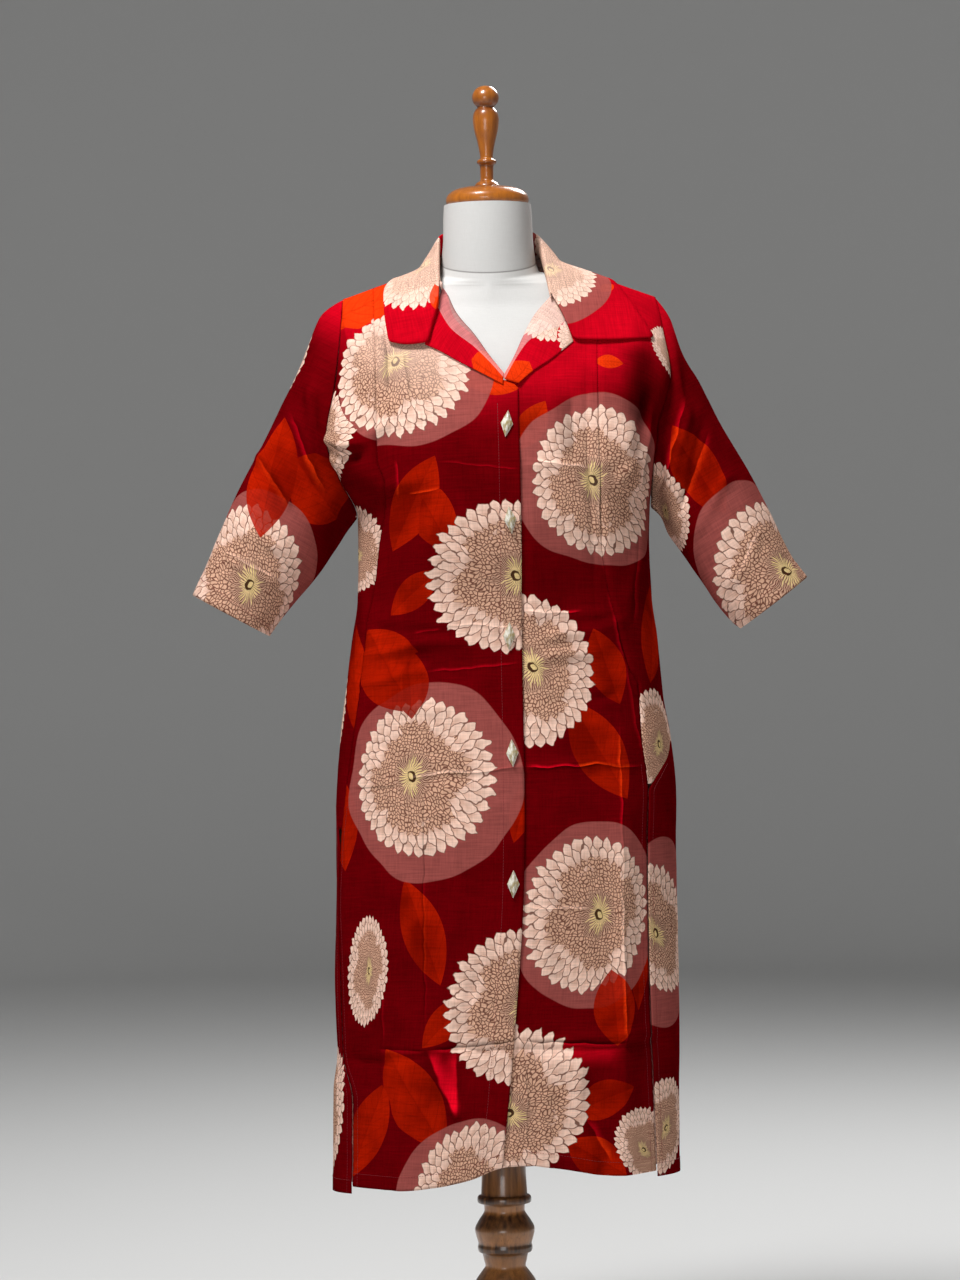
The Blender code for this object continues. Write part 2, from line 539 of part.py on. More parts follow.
def sleeve(side, rings):
    """Points of a sleeve, ring by ring from the armhole to the cuff."""
    shape = SLEEVE_TABLES[side]
    last = shape["h"][-1]
    root = armhole(side)
    angles = loop_angles(root)

    def ring(k):
        outer = np.array((read(shape, "x_out", k), 0.0, read(shape, "z_out", k)))
        under = np.array((read(shape, "x_under", k), 0.0, read(shape, "z_under", k)))
        centre, reach = (outer + under) / 2, (outer - under) / 2
        depth = np.array((0.0, read(shape, "half", k), 0.0))
        middle = np.array((0.0, read(shape, "y", k), 0.0))
        return np.array([centre + middle - reach * math.cos(a) - depth * math.sin(a)
                         for a in angles])

    def blended(k):
        return ring(k) + (root - ring(0.0)) * (1 - float(ease(k, 0.0, ROOT_RINGS)))

    away = blended(1.0) - root
    grid = [root + away * (ARMHOLE_GAP / np.linalg.norm(away, axis=1))[:, None]]
    grid += [blended(share * last) for share in np.linspace(0.0, 1.0, rings)[1:]]
    return np.array(grid)


def armhole(side):
    """The armhole's loop, from the underarm up the front, over the shoulder and down the back."""
    front = [row("front", h)[0][0 if side == "right" else -1] for h in ARMHOLE_ROWS]
    back = [row("back", h)[0][0 if side == "right" else -1] for h in ARMHOLE_ROWS]
    tip = (front[-1] + back[-1]) / 2
    return np.array(front[:-1] + [tip] + back[-2:0:-1])


def loop_angles(loop):
    """Angle of each point round a loop, by its share of the loop's length."""
    lengths = np.linalg.norm(np.diff(loop, axis=0, append=loop[:1]), axis=1)
    return 2 * math.pi * np.concatenate(([0.0], np.cumsum(lengths)[:-1])) / lengths.sum()


# ---------------------------------------------------------------- collar and lapels
def torso_tree():
    """The closed outer surface of the cloth body, without neckline or slits, for seating."""
    heights = np.linspace(1.05, SHOULDER_H, 40)
    vertices, faces = [], []
    for h in heights:
        front = row("front", h)[0][::6]
        back = row("back", h)[0][::6][::-1]
        vertices += [Vector(p) for p in np.concatenate((front, back))]
    count = len(vertices) // len(heights)
    for j in range(len(heights) - 1):
        for i in range(count):
            a, b = j * count + i, j * count + (i + 1) % count
            faces.append((a, b, b + count, a + count))
    return BVHTree.FromPolygons(vertices, faces)


TORSO = torso_tree()


def front_depth(x, z):
    """y of the cloth's front at a place seen from the front."""
    hit = TORSO.ray_cast(Vector((x, -0.5, z)), Vector((0.0, 1.0, 0.0)))[0]
    return hit.y if hit else 0.0


def settle(point, lift):
    """The place above the cloth body nearest to a point, at the given height over it."""
    place, normal, _, _ = TORSO.find_nearest(Vector(point))
    if normal.dot(place - Vector((0.01, 0.0, place.z - 0.05))) < 0:
        normal = -normal
    return np.array(place + normal * lift)


def lapel(side, rounds, columns):
    """Points of a turned-out facing: inner strip, roll and the part that lies on the front."""
    shape = LAPEL_TABLES[side]
    grid = []
    for t in np.linspace(0.0, 1.0, rounds):
        inner = (read(shape, "x_in", t), read(shape, "z_in", t))
        roll = (read(shape, "x_roll", t), read(shape, "z_roll", t))
        outer = (read(shape, "x_out", t), read(shape, "z_out", t))
        line = []
        for w in np.linspace(-0.5, 1.0, columns):
            if w < 0:
                x = roll[0] + (inner[0] - roll[0]) * -2 * w
                z = roll[1] + (inner[1] - roll[1]) * -2 * w
                lift = LAPEL_LIFT - 0.010 * (-2 * w) ** 1.6 * float(ease(t, 0.0, 0.4))
            else:
                x = roll[0] + (outer[0] - roll[0]) * w
                z = roll[1] + (outer[1] - roll[1]) * w
                lift = LAPEL_LIFT + 0.0012 * math.sin(math.pi * w) * t
            line.append((x, front_depth(x, z) - lift, z))
        grid.append(line)
    return np.array(grid)


def collar_half(side, stations, leaf_columns):
    """Points of half the collar: stand, fold and leaf, from the gorge to the back."""
    shape = COLLAR_TABLES[side]
    sign = -1 if side == "right" else 1

    def fold(t):
        return np.array([read(shape, name, t) for name in ("x_fold", "y_fold", "z_fold")])

    def edge(t):
        return np.array([read(shape, name, t) for name in ("x_leaf", "y_leaf", "z_leaf")])

    def end(w):
        x, z = read(GORGE_TABLE, "x_" + side, w), read(GORGE_TABLE, "z_" + side, w)
        lift = GORGE_LIFT + 0.001 * math.sin(math.pi * w)
        return np.array((x, front_depth(x, z) - lift, z))

    grid = []
    for t in np.linspace(0.0, 1.0, stations):
        stand = read(shape, "stand", t)
        top = fold(t) if t > 0 else end(0.0)
        away = (top - np.array((NECK_AXIS, 0.0, 0.0))) * np.array((1.0, 1.0, 0.0))
        if t < 0.3:
            away = np.array((sign, 0.0, 0.0))
        away = away / np.linalg.norm(away)
        line = [top - away * 0.0012 + np.array((0.0, 0.0, -stand)),
                top - away * 0.0022 + np.array((0.0, 0.0, -stand * 0.5)),
                top - away * 0.0018 + np.array((0.0, 0.0, -0.0035)),
                top]
        for w in np.linspace(0.0, 1.0, leaf_columns)[1:]:
            straight = fold(t) * (1 - w) + edge(t) * w
            front = end(w) - (end(0.0) * (1 - w) + end(1.0) * w)
            guess = straight + front * (1 - t) ** 2
            lift = LEAF_LIFT + (GORGE_LIFT - LEAF_LIFT) * (1 - t) ** 4
            seated = settle(guess, lift)
            free = guess + away * 0.004 * (1 - w)
            share = float(ease(w, 0.0, 0.45))
            line.append(free * (1 - share) + seated * share)
        grid.append(line)
    return np.array(grid)


# ---------------------------------------------------------------- meshes
def material(slot):
    """The Principled material of one finish."""
    found = bpy.data.materials.get(slot)
    if found:
        return found
    made = bpy.data.materials.new(slot)
    made.use_nodes = True
    colour, roughness = COLOURS[slot]
    shader = made.node_tree.nodes["Principled BSDF"]
    shader.inputs["Base Color"].default_value = colour
    shader.inputs["Roughness"].default_value = roughness
    shader.inputs["Metallic"].default_value = 0.0
    return made


def add_object(name, mesh, slot):
    mesh.materials.append(material(slot))
    mesh.shade_smooth()
    made = bpy.data.objects.new(name, mesh)
    PART.objects.link(made)
    return made


def add_sheet(name, grid, slot="cloth", closed=False, flip=False):
    """A wall of cloth whose outer side passes through the grid's points."""
    rows, columns = grid.shape[:2]
    faces = []
    for j in range(rows - 1):
        for i in range(columns if closed else columns - 1):
            a, b = j * columns + i, j * columns + (i + 1) % columns
            corner = (a, b, b + columns, a + columns)
            faces.append(corner[::-1] if flip else corner)
    mesh = bpy.data.meshes.new(name)
    mesh.from_pydata([tuple(p) for p in grid.reshape(-1, 3)], [], faces)
    made = add_object(name, mesh, slot)
    wall = made.modifiers.new("wall", "SOLIDIFY")
    wall.thickness = WALL
    wall.offset = -1.0
    return made


def add_turned(name, profile, slot, x=0.0, steps=28):
    """A turned piece: a profile, top to bottom, round the axis at x."""
    mesh = bpy.data.meshes.new(name)
    edges = [(k, k + 1) for k in range(len(profile) - 1)]
    mesh.from_pydata([(radius, 0.0, z) for radius, z in profile], edges, [])
    made = add_object(name, mesh, slot)
    made.location.x = x
    turn = made.modifiers.new("turn", "SCREW")
    turn.steps = steps
    turn.render_steps = steps
    turn.use_merge_vertices = True
    turn.merge_threshold = 0.00005
    turn.use_normal_calculate = False
    return made


def add_loft(name, rings, slot):
    """A closed solid through rings listed from the bottom up, with flat ends."""
    count = len(rings[0])
    faces = [tuple(range(count))[::-1], tuple(range((len(rings) - 1) * count, len(rings) * count))]
    for j in range(len(rings) - 1):
        for i in range(count):
            a, b = j * count + i, j * count + (i + 1) % count
            faces.append((a, b, b + count, a + count))
    mesh = bpy.data.meshes.new(name)
    mesh.from_pydata([tuple(p) for ring in rings for p in ring], [], faces)
    return add_object(name, mesh, slot)


# ---------------------------------------------------------------- the pieces
# Nominal heights of the rows, shared by all the panels; those of the armhole by the sleeves.
LOW_ROWS = (0.262, 0.300, 0.345, 0.390, 0.440, 0.500, 0.560, 0.625, 0.680, 0.715, 0.742, 0.765,
            0.790, 0.815, 0.840, 0.880, 0.920, 0.960, 1.000, 1.035, 1.070)
ARMHOLE_ROWS = (UNDERARM_H, 1.130, 1.160, 1.190, 1.220, 1.244, 1.262, 1.280, 1.302, 1.325,
                1.350, 1.370, 1.385, 1.394, SHOULDER_H)
ROWS = LOW_ROWS + ARMHOLE_ROWS
SIDE_TIP = {"right": 0.715, "left": 0.765}  # the lowest row of a side front


def build_body():
    """The two fronts, the two side fronts and the back."""
    for side in ("right", "left"):
        grid = front_panel(side, ROWS, 10)
        add_sheet("front_" + side, grid, flip=side == "right")
        heights = [h for h in ROWS if h >= SIDE_TIP[side]]
        grid = side_front_panel(side, heights, 5)
        add_sheet("side_front_" + side, grid, flip=side == "right")
    add_sheet("back", back_panel(ROWS, 19), flip=True)


def build_sleeves():
    add_sheet("sleeve_right", sleeve("right", 12), closed=True)
    add_sheet("sleeve_left", sleeve("left", 12), closed=True, flip=True)


def build_collar():
    """The folded collar and the two facings turned out as lapels."""
    right = collar_half("right", 13, 7)
    left = collar_half("left", 13, 7)
    whole = np.concatenate((right, left[::-1][1:]))
    add_sheet("collar", whole, flip=True)
    add_sheet("lapel_right", lapel("right", 9, 7), flip=True)
    add_sheet("lapel_left", lapel("left", 9, 7))


def build_buttons():
    """Five diamond buttons, cut with a raised ridge along each, on the band."""
    half_wide, half_deep, half_tall = (side / 2 for side in BUTTON_SIZE)
    outline = ((0.0, -half_tall), (half_wide, 0.0), (0.0, half_tall), (-half_wide, 0.0))
    for number, (z, x, tilt) in enumerate(BUTTONS, start=1):
        mesh = bpy.data.meshes.new("button_%d" % number)
        shape = bmesh.new()
        back = [shape.verts.new((px * 0.9, half_deep, pz * 0.9)) for px, pz in outline]
        rim = [shape.verts.new((px, half_deep * 0.35, pz)) for px, pz in outline]
        crest = [shape.verts.new((px * 0.45, -half_deep, pz * 0.62)) for px, pz in outline]
        shape.faces.new(back)
        shape.faces.new(crest[::-1])
        for low, high in ((rim, back), (crest, rim)):
            for k in range(4):
                shape.faces.new((low[k], low[(k + 1) % 4], high[(k + 1) % 4], high[k]))
        bmesh.ops.recalc_face_normals(shape, faces=shape.faces)
        shape.to_mesh(mesh)
        shape.free()
        made = add_object("button_%d" % number, mesh, "pearl")
        made.data.shade_flat()
        below, middle, above = (front_y(x, z + step) for step in (-half_tall, 0.0, half_tall))
        y = min(middle, (below + above) / 2)
        made.location = (x, y - half_deep - BUTTON_LIFT, z)
        made.rotation_euler = (math.atan2(below - above, 2 * half_tall), math.radians(tilt), 0.0)


def build_form():
    """The canvas torso and neck, closed all round, and clear of the cloth."""
    angles = np.linspace(0.0, 2 * math.pi, 28, endpoint=False)
    rings = []
    for h in [r[0] for r in FORM]:
        half, tilt = read(FORM_TABLE, "half", h), read(FORM_TABLE, "tilt", h)
        power, x = read(FORM_TABLE, "power", h), read(FORM_TABLE, "x", h)
        ring = []
        for a in angles:
            depth = read(FORM_TABLE, "y_front" if math.sin(a) < 0 else "y_back", h)
            across = math.copysign(abs(math.cos(a)) ** (2 / power), math.cos(a))
            y = abs(math.sin(a)) ** (2 / power) * depth
            ring.append((x + half * across, y, h + tilt * y))
        rings.append(ring)
    add_loft("form_torso", rings, "canvas")
    top = FORM[-1]
    neck = []
    levels = ((top[1], top[0] + SEAM, NECK_TILT),) + tuple(
        (radius, z, NECK_TILT * share) for (radius, z), share in zip(NECK_PROFILE[::-1],
                                                                     (0.75, 0.25, 0.0)))
    for radius, z, tilt in levels:
        depth = 0.056 / 0.0585 * radius if z < 1.42 else radius
        neck.append([(NECK_AXIS + radius * math.cos(a), depth * math.sin(a),
                      z + tilt * depth * math.sin(a)) for a in angles])
    add_loft("form_neck", neck, "canvas")


def build_stand():
    """The turned cap and finial, the pole under the form, and its round base."""
    add_turned("neck_cap", CAP_PROFILE, "wood", NECK_AXIS)
    add_turned("finial", FINIAL_PROFILE, "wood", NECK_AXIS, 20)
    add_turned("pole", POLE_PROFILE, "dark_wood", 0.0, 24)
    add_turned("stand_base", BASE_PROFILE, "dark_wood", 0.0, 40)


for old in list(bpy.data.objects):
    bpy.data.objects.remove(old, do_unlink=True)
PART = bpy.data.collections.new("kurta_on_dress_form")
bpy.context.scene.collection.children.link(PART)

build_body()
build_sleeves()
build_collar()
build_buttons()
build_form()
build_stand()
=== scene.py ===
"""Finish of the printed cotton kurta and its dress form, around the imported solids.

Metres, in the solids' frame: +Z up, the garment's front towards -Y, the wearer's right at -X.
Every panel of cloth is worked out again from the rows that its solid follows, in finer steps,
with its creases, hems and stitching. U is the length along a row from the centre line and V
the height, or the length up the cloth where it turns in over the shoulder.
"""
import collections
import functools
import math

import bmesh
import bpy
import numpy as np
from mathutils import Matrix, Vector, noise
from mathutils.bvhtree import BVHTree


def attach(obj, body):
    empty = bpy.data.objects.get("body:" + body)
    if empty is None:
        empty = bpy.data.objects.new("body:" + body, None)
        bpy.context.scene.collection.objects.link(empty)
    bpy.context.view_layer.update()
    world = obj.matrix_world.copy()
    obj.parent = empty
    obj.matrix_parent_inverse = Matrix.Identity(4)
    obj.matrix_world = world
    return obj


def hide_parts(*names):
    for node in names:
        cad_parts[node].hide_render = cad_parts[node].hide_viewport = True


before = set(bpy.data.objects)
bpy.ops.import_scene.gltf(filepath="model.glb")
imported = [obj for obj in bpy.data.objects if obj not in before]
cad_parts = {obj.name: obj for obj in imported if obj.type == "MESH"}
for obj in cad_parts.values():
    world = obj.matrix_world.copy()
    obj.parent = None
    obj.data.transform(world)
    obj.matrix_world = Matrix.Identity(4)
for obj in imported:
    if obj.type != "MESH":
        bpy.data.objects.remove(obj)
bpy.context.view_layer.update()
SIDES = ("right", "left")

# ---------------------------------------------------------------- driving dimensions
WALL = 0.0012            # cloth
COLLAR_WALL = 0.0018     # the collar's two layers
CELL = 0.0036            # grid step of the cloth
YOKE_CELL = 0.003        # and from the collar bones up,
TOP_CELL = 0.0012        # and where it turns in over the shoulder
YOKE_FROM, TOP_FROM = 1.300, 1.388
ROW_STEP = 0.002         # between the rows that bent rows are read from
ROW_POINTS = 120         # points of each quarter of a row
ROW_SPARE = 0.004        # how much more of the front a row of the back takes up than it needs
SEAM = 0.0002            # gap between two pieces at a seam
SIDE_GAP = 0.0009        # at the side seams, which curve
ROOT_RINGS = 3.5         # the armhole's outline fades out of the sleeve over this many rings
ARMHOLE_GAP = 0.0007     # and where a sleeve is set in
TIP_WIDTH = 0.004        # of a side front where it runs out in the slit
SLIT_TOP = {"right": 0.755, "left": 0.800}
SIDE_TIP = {"right": 0.715, "left": 0.765}  # the lowest row of a side front
SLIT_WIDTH = 0.0018      # between the back's edge and the front's, which hang almost closed
SLIT_OPENS = 0.10        # length over which a slit opens to that width
BAND_HALF = 0.015        # button line to the edge of the front band
BAND_STITCH = -0.0105    # U of the stitching on the band's other side
BAND_LAYERS = 0.0006     # how far the band's extra layers stand out
STITCH_DENT, STITCH_REACH = 0.0007, 0.0009  # how deep and wide its stitching pulls in
UNDERLAP = 0.014         # how far the left front runs under the right one
UNDERLAP_DROP = 0.0027   # how much deeper it lies there
UNDERLAP_RISE = (0.017, 0.030)  # U between which it comes up again
UNDERLAP_SMOOTH = (0.015, 0.024)  # and where its creases begin
LAPEL_LIFT = 0.0026      # outer side of a lapel above the front
LAPEL_TUCK = 0.010       # how much deeper its inner strip ends,
TUCK_POWER = 1.6         # and the power of the curve down to there
LAPEL_BULGE = 0.0012     # how far its outer part bows out
LEAF_LIFT = 0.0048       # outer side of the collar's leaf above the cloth body
LEAF_BULGE = 0.0035      # how far the leaf bows out between its fold and its edge
LEAF_BULGE_FADE = (0.1, 0.4)  # shares of the way from the gorge over which that begins
LEAF_SEATED = 0.30       # share of the leaf's width from which it clears the cloth below
COLLAR_FRONT = 0.3       # share of the collar's half whose fold faces straight to the side
STAND_INSETS = (0.0012, 0.0022, 0.0018)  # of the stand inside the fold, from its foot up
STAND_TOP = 0.0035       # from the fold down to the stand's topmost row
GORGE_LIFT = 0.0062      # and of its front end above the front, over the lapel
GORGE_BULGE = 0.001      # how far that end bows out
HEM_TOP = 0.310          # folds that end below this run out through the hem
HEM_DEPTH = 0.018        # of the turned hem
HEM_EDGE = 0.001         # half the width over which its thickness runs out
HEM_LAYERS = 0.0004      # how far its extra layers stand out
CUFF_LAYERS = 0.0005     # and a sleeve's
HEM_BLEND = 0.42         # rows below this height spread to follow the hem
SHOULDER_H = 1.400       # nominal height of the shoulder seam
NECK_BLEND = 1.300       # rows of the back above this bend to the neckline
BACK_NECK_HALF = 0.078   # of the back neckline's width
BACK_NECK_DIP = 0.022    # how much lower it is in the middle
UNDERARM_H = 1.100       # nominal height of the underarm
SEAM_DENT, SEAM_REACH = 0.0004, 0.0022      # the groove along a princess seam
ROOT_DENT, ROOT_REACH = 0.0010, 0.003       # and along the armhole
ROOT_FADE = 0.03         # length from the armhole over which a sleeve's folds begin
PUCKER, PUCKER_WAVE, PUCKER_REACH = 0.00035, 0.011, 0.009   # ripples beside a seam
PUCKER_SHIFT = 0.004     # between the ripples on a seam's two sides
PUCKER_DRIFT, PUCKER_DRIFT_WAVE = 3, 37     # how unevenly they follow each other
FOLD_ENDS, CREASE_ENDS = (-0.1, 0.25), (-0.04, 0.22)  # shares of their length to fade in over
CREASE_DEPTH = 1.5       # all the creases' heights are multiplied by this
CREASE_FACING = 0.35     # how far the cloth turns to the front or back before they show whole
CREASE_WANDER, WANDER_WAVE, WANDER_START = 0.25, 9, 40   # sideways, as a share of the width
CREASE_UNEVEN, UNEVEN_WAVE, UNEVEN_START = 0.35, 7, 60   # and in height
CRUMPLE_SHIFT = 7.3      # between the noises of successive waves
COLLAR_CRUMPLE = 0.5     # share of the crumples that the collar has
BUTTON_SIZE = (0.0155, 0.0056, 0.035)
BUTTON_LIFT = 0.0006     # from the band, so that it clears it all over
BUTTONS = ((1.2074, 0.0199, 7), (1.0902, 0.0219, -6), (0.9502, 0.0182, 2), (0.8083, 0.0192, -2),
           (0.6494, 0.0175, 2))              # height, x and tilt in degrees

# How many points the grids have across, or along their length.
FRONT_COLUMNS, SIDE_COLUMNS, BACK_COLUMNS = 64, 22, 122
SLEEVE_RINGS, COLLAR_STATIONS, LEAF_STEPS = 100, 46, 20
LAPEL_ROUNDS, LAPEL_COLUMNS = 42, 26
LAPEL_TURNED = 8         # columns of its inner strip
TREE_FROM, TREE_RINGS, TREE_STEP = 1.05, 40, 6  # of the body that lapels and collar lie on
EVEN_SHARE, CLOSER_SHARE = 0.55, 0.45    # how even the back's columns are, or closer at its sides
SIDE_SPACING = 0.8       # power that sets a side front's columns closer towards the side
BACK_NECK_POWER = 2.6    # of the back neckline's curve
ROW_FADE = 12            # points from a row's ends over which large folds fade in
# Soft unevenness of the cloth all over: waves a metre along x, y and z, and height.
CRUMPLES = ((5.0, 5.0, 3.5, 0.0016), (13.0, 13.0, 9.0, 0.0011), (34.0, 34.0, 26.0, 0.00045),
            (80.0, 80.0, 60.0, 0.00016))
STITCH_LENGTH, STITCH_PITCH, STITCH_HALF = 0.0026, 0.0034, 0.00028
STITCH_FROM = 0.001      # from the end of a line to its first stitch
STITCH_TAPER, STITCH_TOP = 0.12, 0.7     # how far its ends slope, and how wide its top is
SLIT_COLUMNS = 30        # columns from a panel's edge in which the slit's stitching is looked for
HEM_STITCH = 0.0015      # from a hem's inner edge to its stitching
SLIT_HEM = 0.008         # from a slit's edge to its stitching
BAND_TOP = 1.232         # where the band's stitching runs under the lapels
BUTTON_BEVEL = 0.0004
# A button's rings from the back: share of its half width, of its half depth, of its half height.
BUTTON_LEVELS = ((0.90, 1.0, 0.90), (1.0, 0.35, 1.0), (0.60, -0.55, 0.72), (0.16, -1.0, 0.46))
FORM_SIDES, TURNED_SIDES, BASE_SIDES = 112, 72, 96
MERGED = 0.00002         # points of a turned piece closer than this become one
SHARP_STEP = 0.02        # a turned profile runs straight over steps longer than this
SLOPE_LIMIT = 1.2        # its curves' slopes, as a share of the step
# The form's neck from the bottom: half width, half depth, z and share of the seam's tilt.
NECK_RINGS = ((0.0585, 0.0560, 1.4127, 1.0), (0.0557, 0.0557, 1.4400, 0.75),
              (0.0550, 0.0550, 1.4700, 0.25), (0.0540, 0.0540, 1.4848, 0.0))

# ---------------------------------------------------------------- colours, print and painted light
TONES = {
    "ground": (0.128, 0.0003, 0.0020),
    # painted light: the ground where light from above falls on it
    "ground_lit": (0.520, 0.0014, 0.0100),
    "leaf": (0.400, 0.0100, 0.0006),
    "leaf_dark": (0.185, 0.0035, 0.0003),
    # painted light: a leaf where light from above falls on it
    "leaf_lit": (0.760, 0.0380, 0.0030),
    "halo": (0.310, 0.0760, 0.0660),
    "petal": (0.820, 0.5600, 0.4500),
    "petal_base": (0.640, 0.3850, 0.2900),
    "pebble": (0.640, 0.3750, 0.2550),
    "floret": (0.600, 0.3600, 0.2500),
    "outline": (0.130, 0.0460, 0.0300),
    "pebble_line": (0.165, 0.0650, 0.0440),
    "heart": (0.780, 0.5900, 0.2600),
    "eye": (0.060, 0.0260, 0.0120),
    "cotton": (0.700, 0.5000, 0.4800),
}
REVERSE_PALE = 0.34      # how far the cloth's reverse is washed out
# Painted light: the red cotton is painted brighter from the bust up, where it lies on the white
# canvas and catches the light from above:
PAINTED_LIGHT_FROM, PAINTED_LIGHT_TO = 1.185, 1.285    # heights on its middle line,
PAINTED_LIGHT_MIDDLE, PAINTED_LIGHT_SLOPE = 0.030, 1.9  # that line's x, and how much they rise beside it
CANVAS_PALE, CANVAS_SOILED = (0.68, 0.675, 0.660), (0.35, 0.33, 0.30)
NECK_SEAM_TONE = (0.16, 0.15, 0.14)
WOOD_TONES = (0.110, 0.022, 0.003), (0.520, 0.160, 0.012)        # of the grain, dark and light
DARK_WOOD_TONES = (0.028, 0.010, 0.004), (0.560, 0.230, 0.065)
PEARL_PALE, PEARL_DARK = (0.80, 0.77, 0.68), (0.36, 0.28, 0.13)
THREAD_DARK, THREAD_LIGHT = (0.10, 0.002, 0.004), (0.26, 0.008, 0.014)
PETALS = 37              # scales in one ring of a flower
SCALE_ROW = 0.128        # height of a ring of scales, as a share of the flower's radius
ARCH = 0.80              # how far a scale's tip stands out, as a share of its ring's height
LAST_ROW = 6             # outermost ring
PEBBLE_ROW = 4           # rings up to this one are drawn as pebbles
PEBBLES = 21.0           # pebbles along a flower's radius
FLORETS = 58             # fine lines that run out from the heart
RAYS = 30                # pale rays of the heart
HEART_SHIFT = 0.20       # how far off centre the heart lies
# A pair of numbers below is where a tone begins and where it is whole.
ARCH_POWER = 0.6         # of the curve of a scale's tip
PETAL_SHADE = (0.2, 1.5)                 # of a scale's base, counted in rings from its tip
PETAL_LINE, PETAL_INK = (0.03, 0.11), 0.90       # a scale's outline, and how dark it is
PEBBLE_LINE, PEBBLE_ORDER = (0.05, 0.22), 0.8    # a pebble's outline, how unevenly they lie
FEWER_PEBBLES = 0.56     # noise above which the pebbles end a ring early
FLORET_LINE = (0.12, 0.36)               # a floret's outline, from its middle
FLORET_ENDS, FLORET_RAGGED = (0.24, 0.33), 0.20  # where florets end, and how unevenly
FLORET_WOBBLE, RAY_WOBBLE = 1.5, 0.6
RAY_LENGTH, RAY_UNEVEN = 0.17, 0.10      # the shortest ray, and how much longer some are
RAY_TIP, RAY_TAPER = 0.16, 0.40          # half a ray's width at its tip, and how much it widens
EYE_RADIUS, EYE_THICK, EYE_UNEVEN = 0.056, 0.017, 0.011  # the dark ring in the heart
WARP_SCALE, WARP = 4.5, 0.16             # how unevenly a whole flower is drawn
WAVER_SCALE, WAVER = 28.0, 0.010         # and a pressed fold
NOISE_MIDDLE = (0.5, 0.5, 0.5)
MOTIF_EDGE = (0.985, 1.0)                # of leaves and pink patches
HALO_RAGGED = 0.22
VEINS, VEIN_SLOPE = 4.0, 2.0             # veins in half a leaf, and how far they lean
VEIN_LINE, RIB_LINE, VEIN_INK = (0.03, 0.09), (0.015, 0.05), 0.28
TINT_SCALE, TINT_SHARE = 14.0, (0.38, 0.66)      # clouds in the ground and the leaves,
GROUND_TINT, LEAF_TINT, LEAF_HALF = 0.18, 0.75, 0.30  # how dark, and a leaf's darker half
# First, how far painted light turns the flowers paler;
# then how much painted fold highlights lighten and painted fold shade darkens
PAINTED_LIGHT_WASH, FOLD_LIGHTER, FOLD_DARKER = 0.45, 0.55, 0.85
# Uneven threads: how often they change in a metre along U, V and the third axis.
SLUB = (45.0, 1300.0, 1.0), (1500.0, 60.0, 1.0)
BROAD_SLUB = (26.0, 460.0, 1.0), (520.0, 30.0, 1.0)
LEAST_TONE, SLUB_TONE, WORN_TONE, BROAD_TONE = 0.15, 0.40, 0.20, 1.10
CANVAS_WARP, CANVAS_WEFT = (900.0, 900.0, 90.0), (90.0, 90.0, 1000.0)
WEAVE_TONE, SOILED_TONE = 0.22, 0.06
# painted shade: the neck is painted darker than the chest, which faces the light
NECK_SHADE, NECK_STEP = 0.86, 0.0010      # the neck above the seam, and how soft its edge is
NECK_SEAM_LINE, NECK_SEAM_INK = (0.0004, 0.0014), 0.6
# Fibres of the wood: how often they change in a metre across and along, and detail.
GRAIN, PORES = (190.0, 14.0, 5.0), (900.0, 40.0, 2.0)
GRAIN_TONE, PORE_TONE, PORE_SHARE, BAND_WAVER = 0.85, 0.45, (0.58, 0.72), 0.006

# ---------------------------------------------------------------- stage
CAMERA_PLACE = (-0.0174, -5.0, 0.946)
CAMERA_LENS = 113.4
CAMERA_ROLL = math.radians(1.058)
FLOOR_INNER, FLOOR_RADIUS, COVE_RADIUS, WALL_TOP = 0.4, 6.5, 1.5, 9.0
FLOOR_SIDES = 96
FLOOR_TONE = (0.62, 0.62, 0.615)
WORLD_LIGHT = 0.17
# Lamps: name, place, what they are aimed at, size in metres, watts and degrees of spread.
LIGHTS = (
    ("key", (-0.95, -1.55, 3.9), (0.0, 0.0, 1.1), 0.8, 138, 180),
    ("low", (-0.6, -4.2, 1.1), (0.0, 0.0, 0.8), 1.6, 10, 100),
    ("back", (1.4, 2.6, 3.5), (0.0, 0.0, 1.1), 1.4, 110, 180),
)

# ---------------------------------------------------------------- tables
# Places and lengths in the tables are in millimetres, and their columns are as the comments say.
NOT_LENGTHS = {"ring", "share", "share_right", "share_left", "power", "power_front", "power_back",
               "tilt", "turn", "over", "sharp", "left", "right"}
SIGN = {"right": -1, "left": 1}

